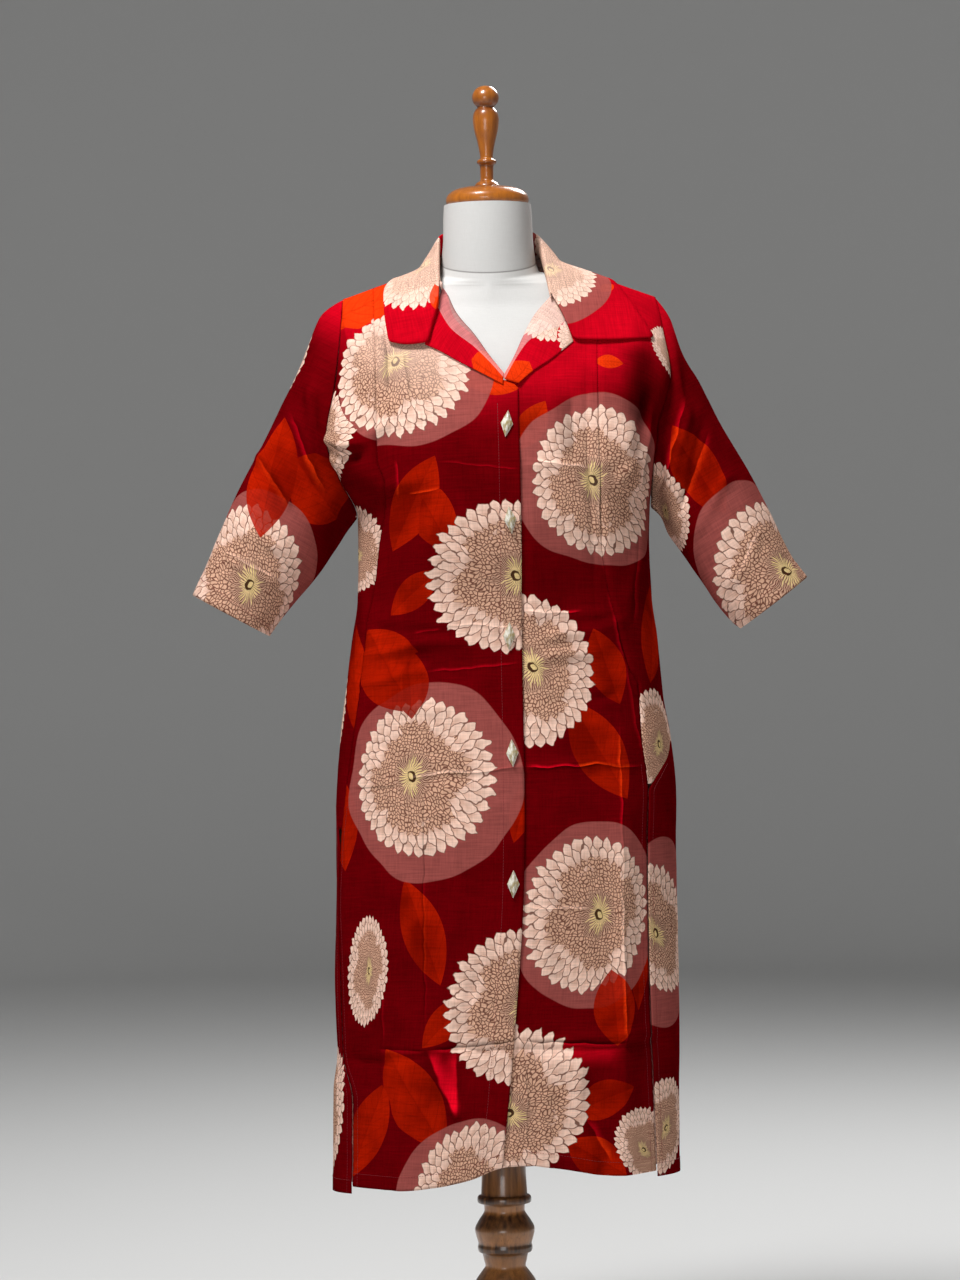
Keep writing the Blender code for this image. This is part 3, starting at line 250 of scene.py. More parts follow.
# The centre line: nominal height, then z, x and y in front and at the back, and the powers of
# the curves that run round to the sides.
MIDDLE = (
    (262, 262, -19, -101, 262, 3, 118, 2.1, 2.2), (310, 310, -16, -102, 310, 3, 120, 2.1, 2.2),
    (390, 390, -7, -104, 390, 4, 123, 2.1, 2.2), (500, 500, 4, -107, 500, 7, 126, 2.15, 2.2),
    (650, 650, 15.5, -112, 650, 10, 128, 2.2, 2.3), (755, 755, 18, -113, 755, 12, 127, 2.2, 2.3),
    (840, 840, 18.5, -110, 840, 12, 120, 2.25, 2.3),
    (930, 930, 18.5, -106, 930, 13, 102, 2.3, 2.3), (995, 995, 19, -111, 995, 14, 97, 2.35, 2.4),
    (1060, 1060, 20, -126, 1060, 14, 102, 2.4, 2.4),
    (1100, 1100, 20, -131, 1100, 14, 106, 2.4, 2.4),
    (1160, 1160, 20, -130, 1160, 14, 110, 2.4, 2.4),
    (1220, 1222, 19.5, -119, 1225, 14, 111, 2.3, 2.4),
    (1280, 1285, 19.5, -99, 1292, 14, 105, 2.2, 2.3),
    (1340, 1348, 19.5, -72, 1358, 14, 93, 2.1, 2.2), (1370, 1394, 19.5, -50, 1400, 14, 76, 2, 2.1),
    (1388, 1423, 19.5, -26, 1427, 14, 48, 2, 2), (1397, 1434, 19.5, -8, 1435, 14, 12, 2, 2),
    (1400, 1436, 19.5, -0.4, 1436, 14, 0.4, 2, 2),
)
# The side lines: nominal height, z and x of each, and y of the front's and the back's edge.
SIDE = (
    (262, 262, -212.3, 262, 218.4, 6, 6), (390, 390, -210, 390, 218.8, 6, 6),
    (440, 440, -204.5, 440, 220, 6, 6), (500, 500, -205.4, 500, 221, 6, 6),
    (650, 650, -200.2, 650, 221, 6, 6), (755, 755, -198.3, 755, 222.1, 5, 5),
    (820, 820, -193.4, 820, 217, 5, 5), (870, 870, -187.4, 870, 208.5, 4, 4),
    (945, 945, -176.1, 945, 203.2, 2, 2), (995, 995, -167.8, 995, 196.7, 0, 0),
    (1060, 1060, -166, 1064, 194.4, 0, 0), (1100, 1100, -165.9, 1107, 196.4, 0, 0),
    (1160, 1145, -185, 1152, 199, -43, 45), (1220, 1197, -201, 1203, 204, -60, 62),
    (1280, 1262, -190, 1268, 221, -55, 60), (1340, 1328, -182.5, 1325, 214, -34, 40),
    (1370, 1352, -180.8, 1348, 211, -22, 26), (1388, 1366, -180, 1362, 208.5, -12, 14),
    (1397, 1371, -179.6, 1366.6, 207.7, -4, 4), (1400, 1371.5, -179.5, 1367, 207.5, -0.4, 0.4),
)
# The seam down each front from shoulder to slit, then the front edge of the slit: height, and
# x on the right and the left.
PANEL_SEAM = (
    (262, -186.1, 187.8), (386, -184, 185), (438, -196.5, 183.5), (500, -197.5, 182.5),
    (600, -197.5, 182.2), (692, -193.1, 182.2), (760, -186, 184.8), (827, -175.9, 178),
    (888, -166.2, 175.5), (906, -164, 165.5), (965, -154.5, 149.5), (1022, -144, 137.1),
    (1066, -138.5, 133), (1107, -130.4, 133), (1141, -129, 133), (1180, -138, 132),
    (1266, -138.5, 131.7), (1400, -141.5, 133.5),
)
# Height, then on the right and the left the share of the way from the side line to the front's
# edge at which the side seam, and below it the back's slit edge, runs forward.
SLIT = (
    (690, 1, 1), (755, 0.25, 1), (780, 0, 0.75), (800, 0, 0.45), (840, 0, 0),
)
# x of the fronts' inner edge above the break, by height.
NECK_EDGE = (
    (1248, 30, 13), (1262, 6, 30), (1284, -19, 50), (1302, -40, 69), (1325, -64, 96),
    (1360, -68, 95), (1400, -71, 88),
)
# The hem's height across the body: x, front and back.
HEM = (
    (-215, 279, 268), (-127, 277, 272), (-78, 282, 274), (-41, 291, 275), (-5, 304, 276),
    (26, 306, 277), (68, 301, 279), (143, 289, 283), (222, 293, 284),
)
# Sleeves ring by ring: x and z of the outer and the under edge, half the depth, and y.
SLEEVE = {
    "right": (
        (0, -179.5, 1371.5, -165.9, 1100, 62, 1), (1, -206, 1353, -179, 1084, 62, 1),
        (2, -234.4, 1288.6, -195, 1060, 64, 0), (3, -260.2, 1235.8, -211, 1037, 61, -2),
        (4, -285.9, 1186.6, -226, 1019, 57, -4), (5, -311.5, 1141.2, -241, 1002, 53, -7),
        (6, -343.8, 1069.9, -260, 979, 47, -10), (7, -372.2, 1008.4, -277.7, 955.8, 42, -12),
    ),
    "left": (
        (0, 207.5, 1367, 196.4, 1107, 62, 1), (1, 224, 1342, 209.5, 1094.5, 62, 1),
        (2, 240, 1295, 218, 1074, 64, 0), (3, 261.2, 1257.2, 231, 1055, 62, -1),
        (4, 285.1, 1207.1, 245, 1033, 58, -3), (5, 309.1, 1163.2, 259, 1012, 54, -6),
        (6, 342, 1100, 275, 987, 49, -9), (7, 370, 1042, 292, 966, 44, -12),
        (8, 388.2, 1016.6, 305.2, 954.9, 41, -13),
    ),
}
# Large folds: ends as x and z, width and height; a negative height is a trough.
FOLDS = {
    "front": (
        (153, 820, 150, 270, 16, 6), (-160, 1340, -135, 1170, 16, 4),
        (-185, 1230, -150, 1130, 18, 6), (185, 1330, 165, 1150, 16, 5),
        (170, 1250, 200, 1130, 14, -4), (-130, 985, -30, 925, 20, 4),
        (-150, 930, -50, 900, 18, -3), (60, 955, 140, 930, 20, 3), (-112, 500, -110, 270, 22, 5),
        (-50, 420, -40, 280, 22, 6), (80, 480, 85, 290, 22, 4),
    ),
    "back": (
        (-80, 760, -95, 270, 30, 8), (90, 780, 110, 270, 30, 8), (10, 700, 5, 270, 32, -6),
        (-110, 990, 0, 950, 22, 5), (130, 980, 20, 935, 22, 5), (-150, 1300, -120, 1120, 20, 5),
        (165, 1300, 140, 1120, 20, 5),
    ),
}
# Lapels from the break to the collar: x and z of the inner strip, the roll and the outer edge.
LAPEL = {
    "right": (
        (0, 18, 1269, 17, 1264, 16, 1256), (0.25, 1.4, 1291.4, 0, 1284, -9, 1270),
        (0.5, -16.4, 1318.6, -18, 1302.5, -35.1, 1284.2),
        (0.75, -40.1, 1350, -47, 1327, -58, 1298), (1, -54, 1386, -63, 1355, -78, 1308),
    ),
    "left": (
        (0, 16.5, 1265.5, 18.5, 1262, 35, 1257), (0.25, 30, 1290, 33, 1288, 56, 1274),
        (0.5, 42, 1316, 50, 1310, 74, 1285), (0.75, 56, 1342, 69, 1321, 90, 1297.5),
        (1, 80, 1370, 97, 1327, 103, 1308),
    ),
}
# Collar from the gorge to the middle of the back: x, y and z of its fold and of its leaf's
# edge, and the height of its stand.
COLLAR = {
    "right": (
        (0, -59, -58, 1386, -122.6, -80, 1313.1, 10),
        (0.12, -60.4, -44, 1403, -125, -50, 1342, 13),
        (0.28, -60, -20, 1429, -124.5, -26, 1364, 20), (0.44, -59.5, 12, 1448, -108, 12, 1392, 26),
        (0.62, -51, 44, 1457, -90, 70, 1378, 32), (0.82, -22, 66, 1461, -42, 105, 1372, 36),
        (1, 6, 71, 1462, 10, 112, 1370, 37),
    ),
    "left": (
        (0, 77.4, -60, 1371.8, 200.5, -60, 1310.5, 10),
        (0.12, 74.5, -44, 1393, 185, -45, 1333, 13), (0.28, 70, -18, 1423, 157, -16, 1369, 20),
        (0.44, 65, 14, 1447, 135, 14, 1388, 26), (0.62, 55, 44, 1457, 108, 70, 1380, 32),
        (0.82, 31, 66, 1461, 60, 105, 1373, 36), (1, 6, 71, 1462, 10, 112, 1370, 37),
    ),
}
# The leaf's front end, from the fold down the gorge, then along the lower edge to its point:
# x and z on the right, then on the left.
GORGE = (
    (0, -59, 1386, 77.4, 1371.8), (0.2, -60, 1360, 86.7, 1351.7), (0.4, -68, 1330, 96.1, 1328.3),
    (0.55, -76, 1309.5, 104.5, 1310), (0.78, -100, 1308.5, 153, 1308.5),
    (1, -122.6, 1313.1, 200.5, 1310.5),
)
# The form: height, half width, y in front and at the back, tilt of the ring, power and x.
FORM = (
    (720, 150, -76, 94, 0, 2.2, 0), (735, 157, -83, 103, 0, 2.2, 0),
    (800, 163, -90, 110, 0, 2.3, 0), (880, 156, -88, 100, 0, 2.3, 1),
    (950, 140, -86, 83, 0, 2.3, 2), (1000, 137, -92, 80, 0, 2.3, 3),
    (1060, 146, -106, 84, 0, 2.3, 4), (1120, 152, -112, 90, 0, 2.3, 4),
    (1190, 158, -108, 94, 0, 2.3, 4), (1250, 163, -96, 94, 0, 2.2, 4),
    (1300, 164, -80, 88, 0.02, 2.1, 4), (1340, 158, -66, 78, 0.06, 1.9, 3),
    (1362, 140, -59, 64, 0.08, 1.6, 3), (1386.6, 128, -56.8, 46, 0.12, 1.3, 2),
    (1393, 92, -56.4, 48, 0.17, 1.55, 2), (1401, 62.5, -56.1, 52, 0.23, 1.9, 1.7),
    (1412.5, 58.5, -56, 56, 0.29, 2, 1.7),
)
# Turned profiles, top to bottom: radius and z.
FINIAL_PROFILE = (
    (0, 1633.6), (8.2, 1631.6), (14.2, 1626.2), (16.7, 1618.8), (15, 1611.8), (10.5, 1606.4),
    (12.8, 1603), (15.2, 1598.5), (16.2, 1590.8), (14.8, 1578.4), (11.8, 1566), (9.2, 1553.6),
    (8, 1543.2), (11.6, 1540.2), (11.8, 1536.8), (8.6, 1533.5), (8.2, 1525), (8.3, 1516),
    (12.5, 1512.8), (15.5, 1509.2), (15, 1506.9), (0, 1506.9),
)
CAP_PROFILE = (
    (0, 1506.5), (30, 1506.3), (42.2, 1503), (49.2, 1497.5), (51.4, 1491.5), (50.5, 1486.5),
    (48, 1485.2), (0, 1485.2),
)
POLE_PROFILE = (
    (0, 719.6), (23, 719.6), (24, 560), (26.2, 360), (27.3, 288.8), (28.6, 259), (32.2, 257),
    (33.5, 253), (32.5, 248.7), (26.2, 247), (25.2, 242), (25.6, 236.7), (32, 227), (37, 216.9),
    (35.8, 208), (33.5, 200), (33.2, 197.5), (34, 193), (32.6, 188), (28.8, 186), (26.5, 177),
    (25.2, 169.8), (29, 164), (37, 152.4), (39.5, 142), (37, 131), (31, 122), (28.5, 110),
    (30, 80), (36, 50), (40, 40.3), (0, 40.3),
)
BASE_PROFILE = (
    (0, 40), (48, 39.5), (90, 33), (125, 28.5), (150, 27), (161.5, 23.5), (165, 15), (164, 3),
    (160, 0), (0, 0),
)
# Bands of tone down the turned wood: height, and how light it is there.
POLE_BANDS = (
    (0, 0.1), (120, 0.16), (150, 0.3), (168, 0.62), (180, 0.5), (190, 0.1), (197, 0.12),
    (201, 0.62), (212, 0.55), (222, 0.16), (234, 0.14), (238, 0.6), (246, 0.55), (248.5, 0.12),
    (257.5, 0.12), (262, 0.34), (300, 0.22), (720, 0.2),
)
CAP_BANDS = (
    (1480, 0.35), (1489, 0.75), (1500, 0.62), (1508, 0.3), (1513, 0.45), (1520, 0.55),
    (1536, 0.25), (1545, 0.5), (1590, 0.62), (1604, 0.22), (1609, 0.4), (1633.6, 0.68),
)
# Pressed fold lines and drag wrinkles: ends as x and z, how far the middle bows to the left of
# the way from the first end to the second, width, height, and 1 for a sharp crest or 2 for soft.
CREASES = {
    "front": (
        (28, 1158, 150, 1156, 2, 4.5, 1.6, 1), (-135, 772, 16, 788, 3, 5, -1.4, 1),
        (-20, 790, 190, 789, -4, 4.5, 2.6, 1), (30, 977, 150, 979, 3, 5, 1.6, 1),
        (-195, 432, -75, 444, 4, 6, -3, 1), (-85, 446, 205, 449, -2, 5.5, -3.4, 1),
        (-60, 458, 200, 461, 2, 8, 2.2, 2), (-91, 945, -92, 395, 4, 4, 1.5, 1),
        (-146, 500, -144, 275, 0, 5, 1.6, 1), (-109, 945, -110, 865, 0, 4, 1.2, 1),
        (119, 1330, 126, 950, 3, 5, -1.6, 1), (153, 800, 149, 275, 2, 4.5, 2.2, 1),
        (-88, 430, -52, 362, 4, 7, 4.2, 1), (-62, 520, -28, 448, -4, 6, 2.8, 1),
        (-30, 545, -60, 430, -4, 8, -1.8, 2), (-176, 895, -75, 916, 4, 7, 2.6, 2),
        (-172, 925, -20, 944, -6, 6, 2.2, 2), (-160, 968, -40, 958, 6, 7, -1.8, 2),
        (-150, 870, -60, 862, 3, 6, 1.5, 2), (35, 915, 145, 930, -4, 7, 2, 2),
        (50, 948, 168, 972, 6, 7, 2, 2), (60, 870, 160, 880, 4, 6, -1.6, 2),
        (-176, 1350, -148, 1258, 4, 5, 3, 1), (-142, 1345, -122, 1255, -3, 5, 3, 1),
        (-160, 1345, -136, 1262, 3, 6, -2, 2), (-190, 1180, -120, 1215, 6, 8, 3, 2),
        (-150, 1130, -70, 1150, 4, 9, 1.6, 2), (205, 1200, 140, 1120, -6, 8, 3, 2),
        (196, 1250, 176, 1130, 3, 6, -3, 2), (188, 1110, 160, 960, -3, 8, 1.8, 2),
        (-168, 1080, -150, 940, 3, 8, 2, 2), (60, 700, 66, 480, 6, 10, 1.6, 2),
        (-50, 750, -62, 560, -6, 12, 1.6, 2), (-130, 700, -150, 470, 6, 10, 1.8, 2),
        (90, 440, 110, 285, 4, 10, 3, 2), (50, 430, 48, 300, -3, 9, 2.2, 2),
        (-120, 410, -128, 280, 3, 9, 2.6, 2), (-72, 380, -76, 290, 2, 8, 2.2, 2),
        (-330, 1060, -262, 1020, 6, 5, 2.6, 1), (-300, 1190, -240, 1110, -8, 8, 2.4, 2),
        (-255, 1230, -200, 1120, 10, 9, -3, 2), (-225, 1270, -186, 1150, 6, 8, 4, 2),
        (-212, 1197, -150, 1184, 2, 6, 3.4, 2), (-210, 1184, -156, 1168, 0, 7, -4.4, 2),
        (-320, 1100, -250, 1060, 6, 8, 1.8, 2), (240, 1240, 205, 1110, -8, 8, 4, 2),
        (262, 1220, 224, 1090, -6, 7, -3, 2), (300, 1150, 248, 1060, 6, 8, 2.2, 2),
        (330, 1080, 286, 1000, -4, 7, 1.8, 2),
    ),
    "back": (
        (-150, 1330, -90, 1200, -8, 8, 3, 2), (170, 1320, 110, 1190, 8, 8, 3, 2),
        (-180, 1160, -100, 1200, 6, 8, 2.6, 2), (196, 1150, 120, 1190, -6, 8, 2.6, 2),
        (-150, 965, 10, 985, 8, 8, 3, 2), (-120, 930, 60, 940, -8, 7, 2.6, 2),
        (20, 975, 170, 955, 6, 8, 2.6, 2), (-160, 905, -40, 898, 4, 8, 2, 2),
        (50, 900, 180, 915, -5, 8, 2.2, 2), (-170, 786, 180, 790, 3, 4.5, 2.2, 1),
        (-190, 447, 200, 450, -2, 5.5, -2.6, 1), (-150, 1155, 170, 1158, 2, 4.5, 1.4, 1),
        (10, 1330, 8, 300, 6, 5, 1.8, 1), (-100, 1050, -108, 280, -4, 4.5, 1.4, 1),
        (120, 990, 128, 290, 4, 4.5, 1.4, 1), (-50, 620, -60, 280, 8, 12, 3.6, 2),
        (60, 640, 70, 280, -8, 12, 3.6, 2), (160, 600, 170, 285, 6, 11, 3, 2),
        (-155, 580, -165, 280, 4, 11, 3, 2), (-300, 1180, -230, 1090, 8, 8, 2.6, 2),
        (-240, 1240, -190, 1130, -8, 8, 3.4, 2), (250, 1230, 205, 1120, 8, 8, 3.4, 2),
        (320, 1120, 260, 1040, -6, 8, 2.6, 2),
    ),
}
# Flowers of the print: centre in U and V, half width and half height of the petals, and turn in
# degrees.
FLOWERS = {
    "front_right": (
        (-127, 1288, 86, 87, 303), (-7.4, 1023.9, 96, 95, 180), (-109, 780.1, 91, 98, 351),
        (9.7, 500.6, 84, 96, 180), (-20, 262, 75, 100, 0), (-180, 545, 32, 69, 180),
        (-262, 370, 60, 90, 10),
    ),
    "front_left": (
        (119.3, 1142.2, 91, 94, 0), (13.9, 906.9, 90, 97, 200), (95.7, 610.1, 83, 97, 177),
        (22.9, 383.6, 93, 95, 60), (200, 323, 40, 58, 45),
    ),
    "side_front_right": (
        (-245, 1225, 60, 60, 30), (-127, 1288, 86, 87, 303), (-225, 1064, 55, 74, 80),
        (-290, 890, 50, 80, 20),
    ),
    "side_front_left": (
        (119.3, 1142.2, 91, 94, 0), (190, 820.4, 56, 68, 160), (215, 1346, 36, 34, 70),
    ),
    "back": (
        (-115, 1300, 88, 90, 40), (105, 1190, 92, 95, 210), (-65, 1040, 90, 94, 120),
        (95, 925, 82, 102, 300), (-125, 815, 90, 98, 15), (160, 670, 90, 96, 240),
        (-80, 600, 82, 90, 75), (45, 475, 94, 93, 330), (-130, 390, 90, 96, 200),
        (130, 330, 88, 94, 95), (340, 590, 65, 93, 140), (330, 345, 50, 62, 20),
        (245, 890, 50, 70, 60), (-260, 370, 60, 90, 10), (-245, 960, 60, 70, 300),
    ),
    "sleeve_right": ((-73, 40, 95, 95, 350), (130, 150, 85, 85, 200), (46, 318, 70, 68, 90)),
    "sleeve_left": ((-54, 20, 99, 98, 190), (-185, 175, 62, 62, 100), (115, 180, 85, 85, 250)),
    "collar": ((-158, -30, 68, 70, 200), (150, -5, 74, 63, 180), (0, -70, 70, 62, 10)),
    "lapel_right": (),
    "lapel_left": ((15, 125, 60, 62, 220), (95, 105, 50, 50, 40)),
}
# Dusty pink patches behind flowers, in the same columns.
HALOS = {
    "front_right": ((-112, 1279, 98, 92, 0), (-100, 777, 115, 122, 0), (-25, 262, 93, 104, 0)),
    "front_left": ((118, 1142, 115, 108, 0), (98, 607, 96, 116, 0)),
    "side_front_right": ((-112, 1279, 98, 92, 0),),
    "side_front_left": ((118, 1142, 115, 108, 0),),
    "back": (
        (-105, 1290, 112, 112, 0), (115, 1180, 118, 115, 0), (95, 935, 112, 118, 0),
        (-120, 805, 114, 120, 0), (170, 665, 116, 116, 0), (60, 480, 110, 116, 0),
        (-140, 385, 112, 115, 0), (335, 585, 82, 120, 0),
    ),
    "sleeve_right": ((-85, 42, 115, 112, 0), (120, 145, 108, 106, 0)),
    "sleeve_left": ((-63, 30, 118, 118, 40), (125, 172, 108, 106, 0)),
    "collar": ((156, -10, 93, 74, 0), (10, -75, 90, 78, 0)),
    "lapel_right": ((-60, 100, 72, 85, 0),),
    "lapel_left": (),
}
# Leaves: centre, half length, half width and turn of the leaf's length from U, and 1 where the
# leaf lies over the flowers.
LEAVES = {
    "front_right": (
        (-118, 1118, 64, 30, 62, 0), (-95, 1105, 60, 28, 118, 0), (-118, 1008, 42, 20, 40, 0),
        (-152, 914, 64, 44, 122, 1), (-236, 853, 50, 26, 80, 0), (-106, 592, 70, 26, 112, 0),
        (-70, 483, 42, 20, 50, 0), (-102, 388, 76, 33, 125, 0), (-164, 348, 64, 28, 70, 0),
        (-230, 730, 62, 30, 95, 0), (-170, 1395, 70, 35, 20, 0), (-10, 1267, 42, 20, 0, 0),
        (-124, 896, 44, 24, 92, 1), (12, 740, 42, 15, 76, 0),
    ),
    "front_left": (
        (30, 1208, 36, 18, 60, 0), (120, 912, 50, 26, 110, 0), (108, 810, 70, 32, 120, 0),
        (132, 383, 42, 24, 20, 0), (130, 313, 46, 24, 150, 0), (137, 495, 48, 27, 100, 1),
        (168, 570, 80, 20, 92, 0),
    ),
    "side_front_right": ((-170, 1395, 70, 35, 20, 0), (-210, 900, 70, 30, 100, 0)),
    "side_front_left": ((200, 960, 70, 26, 80, 0), (127, 1292, 18, 9, 0, 0)),
    "back": (
        (-20, 1240, 70, 33, 60, 0), (180, 1290, 64, 30, 120, 0), (-170, 1140, 66, 32, 70, 0),
        (30, 1070, 60, 28, 110, 0), (190, 1050, 64, 30, 60, 0), (-180, 940, 64, 30, 120, 0),
        (0, 860, 66, 30, 50, 0), (160, 810, 66, 32, 115, 0), (-50, 680, 60, 28, 70, 0),
        (-200, 640, 70, 32, 100, 0), (70, 620, 60, 28, 140, 0), (-190, 500, 64, 30, 60, 0),
        (170, 510, 66, 30, 120, 0), (-30, 410, 60, 28, 110, 0), (200, 390, 60, 28, 75, 0),
    ),
    "sleeve_right": (
        (-59, 172, 77, 36, 72, 1), (-130, 185, 56, 42, 20, 0), (70, 250, 66, 32, 120, 0),
        (30, 50, 60, 30, 60, 1),
    ),
    "sleeve_left": (
        (-93, 185, 64, 33, 100, 0), (50, 280, 66, 32, 60, 0), (110, 50, 64, 32, 110, 0),
    ),
    "collar": ((-218, -6, 22, 9, 0, 1), (187, -74, 14, 7, 45, 0), (-60, -50, 40, 20, 60, 0)),
    "lapel_right": ((14, 12, 42, 30, 60, 0),),
    "lapel_left": ((16, 5, 30, 24, 70, 0),),
}
# Painted highlights and painted shade along pressed folds and drag wrinkles, and broad painted
# shade or light where the cloth turns away from or towards the lamps: ends as x and z, how much
# lighter or darker the left and the right are painted on the way from the first end to the
# second, and how far that reaches.
PAINTED_FOLD_LIGHT = {
    "front_right": (
        (-111, 780, 36, 791, 0.75, -0.45, 5.5), (-176, 766, -117, 772, -0.1, -0.55, 4),
        (-89, 779, -94, 459, 0.15, -0.45, 3.5), (-94, 447, 27, 458, -0.75, 0.55, 6),
        (-93, 447, -58, 366, 0.8, -0.35, 22), (-54, 449, -56, 366, -0.2, 0.7, 20),
        (-57, 966, 34, 961, 0.6, -0.2, 5), (-99, 955, -63, 960, 0.35, -0.1, 4),
        (-86, 907, 33, 917, 0.45, -0.3, 4), (-62, 1163, 38, 1151, 0.3, -0.15, 3.5),
        (-99, 1124, -62, 1131, 0.6, -0.3, 3.5), (-114, 1166, -112, 1121, -0.1, 0.45, 5),
        (-146, 529, -145, 457, 0.2, -0.3, 4), (-128, 1325, -122, 1245, 0.15, -0.45, 7),
        (-105, 1300, -98, 1240, -0.4, 0.1, 6), (-150, 449, -94, 447, -0.35, 0.3, 6),
    ),
    "front_left": (
        (33, 790, 126, 792, 1, -0.6, 4.5), (108, 792, 177, 788, 0.55, -0.4, 4.5),
        (152, 840, 152, 639, -0.25, 0.6, 4.5), (152, 645, 153, 443, -0.3, 0.75, 5),
        (29, 621, 113, 617, 0.75, -0.25, 5), (20, 458, 155, 450, -0.8, 0.8, 6),
        (30, 451, 150, 446, 0, 0.6, 30), (99, 1160, 99, 1245, -0.55, 0, 35),
        (36, 979, 109, 978, 0.75, -0.3, 5), (50, 1163, 120, 1151, 0.75, -0.3, 4.5),
        (135, 1241, 131, 1065, -0.55, 0.1, 30), (135, 1241, 130, 1065, -0.1, 0.45, 3.5),
        (131, 1067, 160, 912, -0.2, 0.45, 6), (160, 918, 181, 797, -0.2, 0.3, 5),
        (101, 361, 131, 306, 0.45, -0.2, 10), (31, 435, 27, 324, -0.45, 0.1, 3),
    ),
    "side_front_right": ((-177, 1174, -201, 1192, 0.5, -0.6, 5),),
    "side_front_left": (
        (200, 1230, 182, 1120, -0.5, 0.2, 8), (185, 1310, 180, 1200, -0.75, -0.75, 32),
        (181, 1080, 170, 960, 0.3, -0.3, 6),
    ),
    "back": (
        (-160, 787, -10, 792, 0.8, -0.5, 5), (20, 792, 165, 788, 0.6, -0.45, 4.5),
        (-170, 449, 10, 446, -0.6, 0.6, 5.5), (0, 446, 180, 451, -0.75, 0.55, 5),
        (-120, 1156, 20, 1160, 0.6, -0.3, 4.5), (10, 1300, 8, 820, 0.15, -0.45, 4),
        (8, 760, 12, 470, -0.4, 0.3, 4.5), (-102, 1020, -106, 640, -0.25, 0.55, 4.5),
        (122, 980, 127, 520, 0.5, -0.3, 4.5), (100, 430, 140, 330, 0.6, -0.25, 11),
        (-60, 967, 60, 960, 0.5, -0.25, 5), (-105, 430, -110, 300, -0.3, 0.5, 6),
        (60, 612, 150, 618, 0.6, -0.3, 4.5),
    ),
    "sleeve_right": (
        (-330, 1060, -262, 1022, 0.45, -0.35, 5), (-290, 1180, -245, 1110, -0.4, 0.25, 9),
        (-245, 1230, -205, 1130, -0.35, 0.45, 8),
    ),
    "sleeve_left": (
        (242, 1240, 206, 1120, -0.3, 0.5, 8), (268, 1200, 232, 1100, 0.3, -0.5, 9),
        (330, 1085, 286, 1000, 0.4, -0.3, 6),
    ),
}


# ---------------------------------------------------------------- reading the tables
def records(columns, rows):
    """Rows of a table in millimetres as dictionaries in metres; what isn't a length stays."""
    return [{name: value if name in NOT_LENGTHS else value / 1000
             for name, value in zip(columns.split(), row)} for row in rows]


def table(columns, rows):
    """A table's columns as arrays, its first as the key, with slopes that never overshoot."""
    lines = records(columns, rows)
    names = columns.split()
    made = {name: np.array([line[name] for line in lines]) for name in names}
    made["key"] = made[names[0]]
    for name in names[1:]:
        secant = np.diff(made[name]) / np.diff(made["key"])
        inner = [0.0 if a * b <= 0 else 2 * a * b / (a + b) for a, b in zip(secant, secant[1:])]
        made["slope of " + name] = np.array([secant[0]] + inner + [secant[-1]])
    return made


MIDDLE_TABLE = table("h z_front x_front y_front z_back x_back y_back power_front power_back",
                     MIDDLE)
SIDE_TABLE = table("h z_right x_right z_left x_left y_front y_back", SIDE)
PANEL_SEAM_TABLE = table("h x_right x_left", PANEL_SEAM)
SLIT_TABLE = table("h share_right share_left", SLIT)
NECK_EDGE_TABLE = table("h x_right x_left", NECK_EDGE)
HEM_TABLE = table("x front back", HEM)
GORGE_TABLE = table("share x_right z_right x_left z_left", GORGE)
FORM_TABLE = table("h half y_front y_back tilt power x", FORM)
LAPEL_TABLES = {side: table("share x_in z_in x_roll z_roll x_out z_out", rows)
                for side, rows in LAPEL.items()}
COLLAR_TABLES = {side: table("share x_fold y_fold z_fold x_leaf y_leaf z_leaf stand", rows)
                 for side, rows in COLLAR.items()}
SLEEVE_TABLES = {side: table("ring x_out z_out x_under z_under half y", rows)
                 for side, rows in SLEEVE.items()}
LOW = MIDDLE_TABLE["h"][0]                   # the lowest row, before it follows the hem
BREAK_H = NECK_EDGE_TABLE["h"][0]            # where the fronts' neckline begins,
BREAK_END = NECK_EDGE_TABLE["h"][1]          # and where it has left the button line
BACK_MIDDLE = MIDDLE_TABLE["x_back"][-1]
FORM_TOP, NECK_TILT, NECK_AXIS = (FORM_TABLE[name][-1] for name in ("h", "tilt", "x"))


def read(rows, name, at):
    """A smooth curve through one column, read at the key value `at`."""
    keys, values = rows["key"], rows[name]
    slopes = rows["slope of " + name]
    at = min(max(at, keys[0]), keys[-1])
    k = int(np.clip(np.searchsorted(keys, at) - 1, 0, len(keys) - 2))
    span = keys[k + 1] - keys[k]
    t = (at - keys[k]) / span
    return ((1 + 2 * t) * (1 - t) ** 2 * values[k] + t * (1 - t) ** 2 * span * slopes[k]
            + t * t * (3 - 2 * t) * values[k + 1] - t * t * (1 - t) * span * slopes[k + 1])


def ease(value, low, high):
    """0 below low and 1 above high, with a smooth step between."""
    t = np.clip((value - low) / (high - low), 0.0, 1.0)
    return t * t * (3 - 2 * t)


FOLD_RECORDS = {face: records("x0 z0 x1 z1 width height", rows) for face, rows in FOLDS.items()}
CREASE_RECORDS = {face: records("x0 z0 x1 z1 bow width height sharp", rows)
                  for face, rows in CREASES.items()}


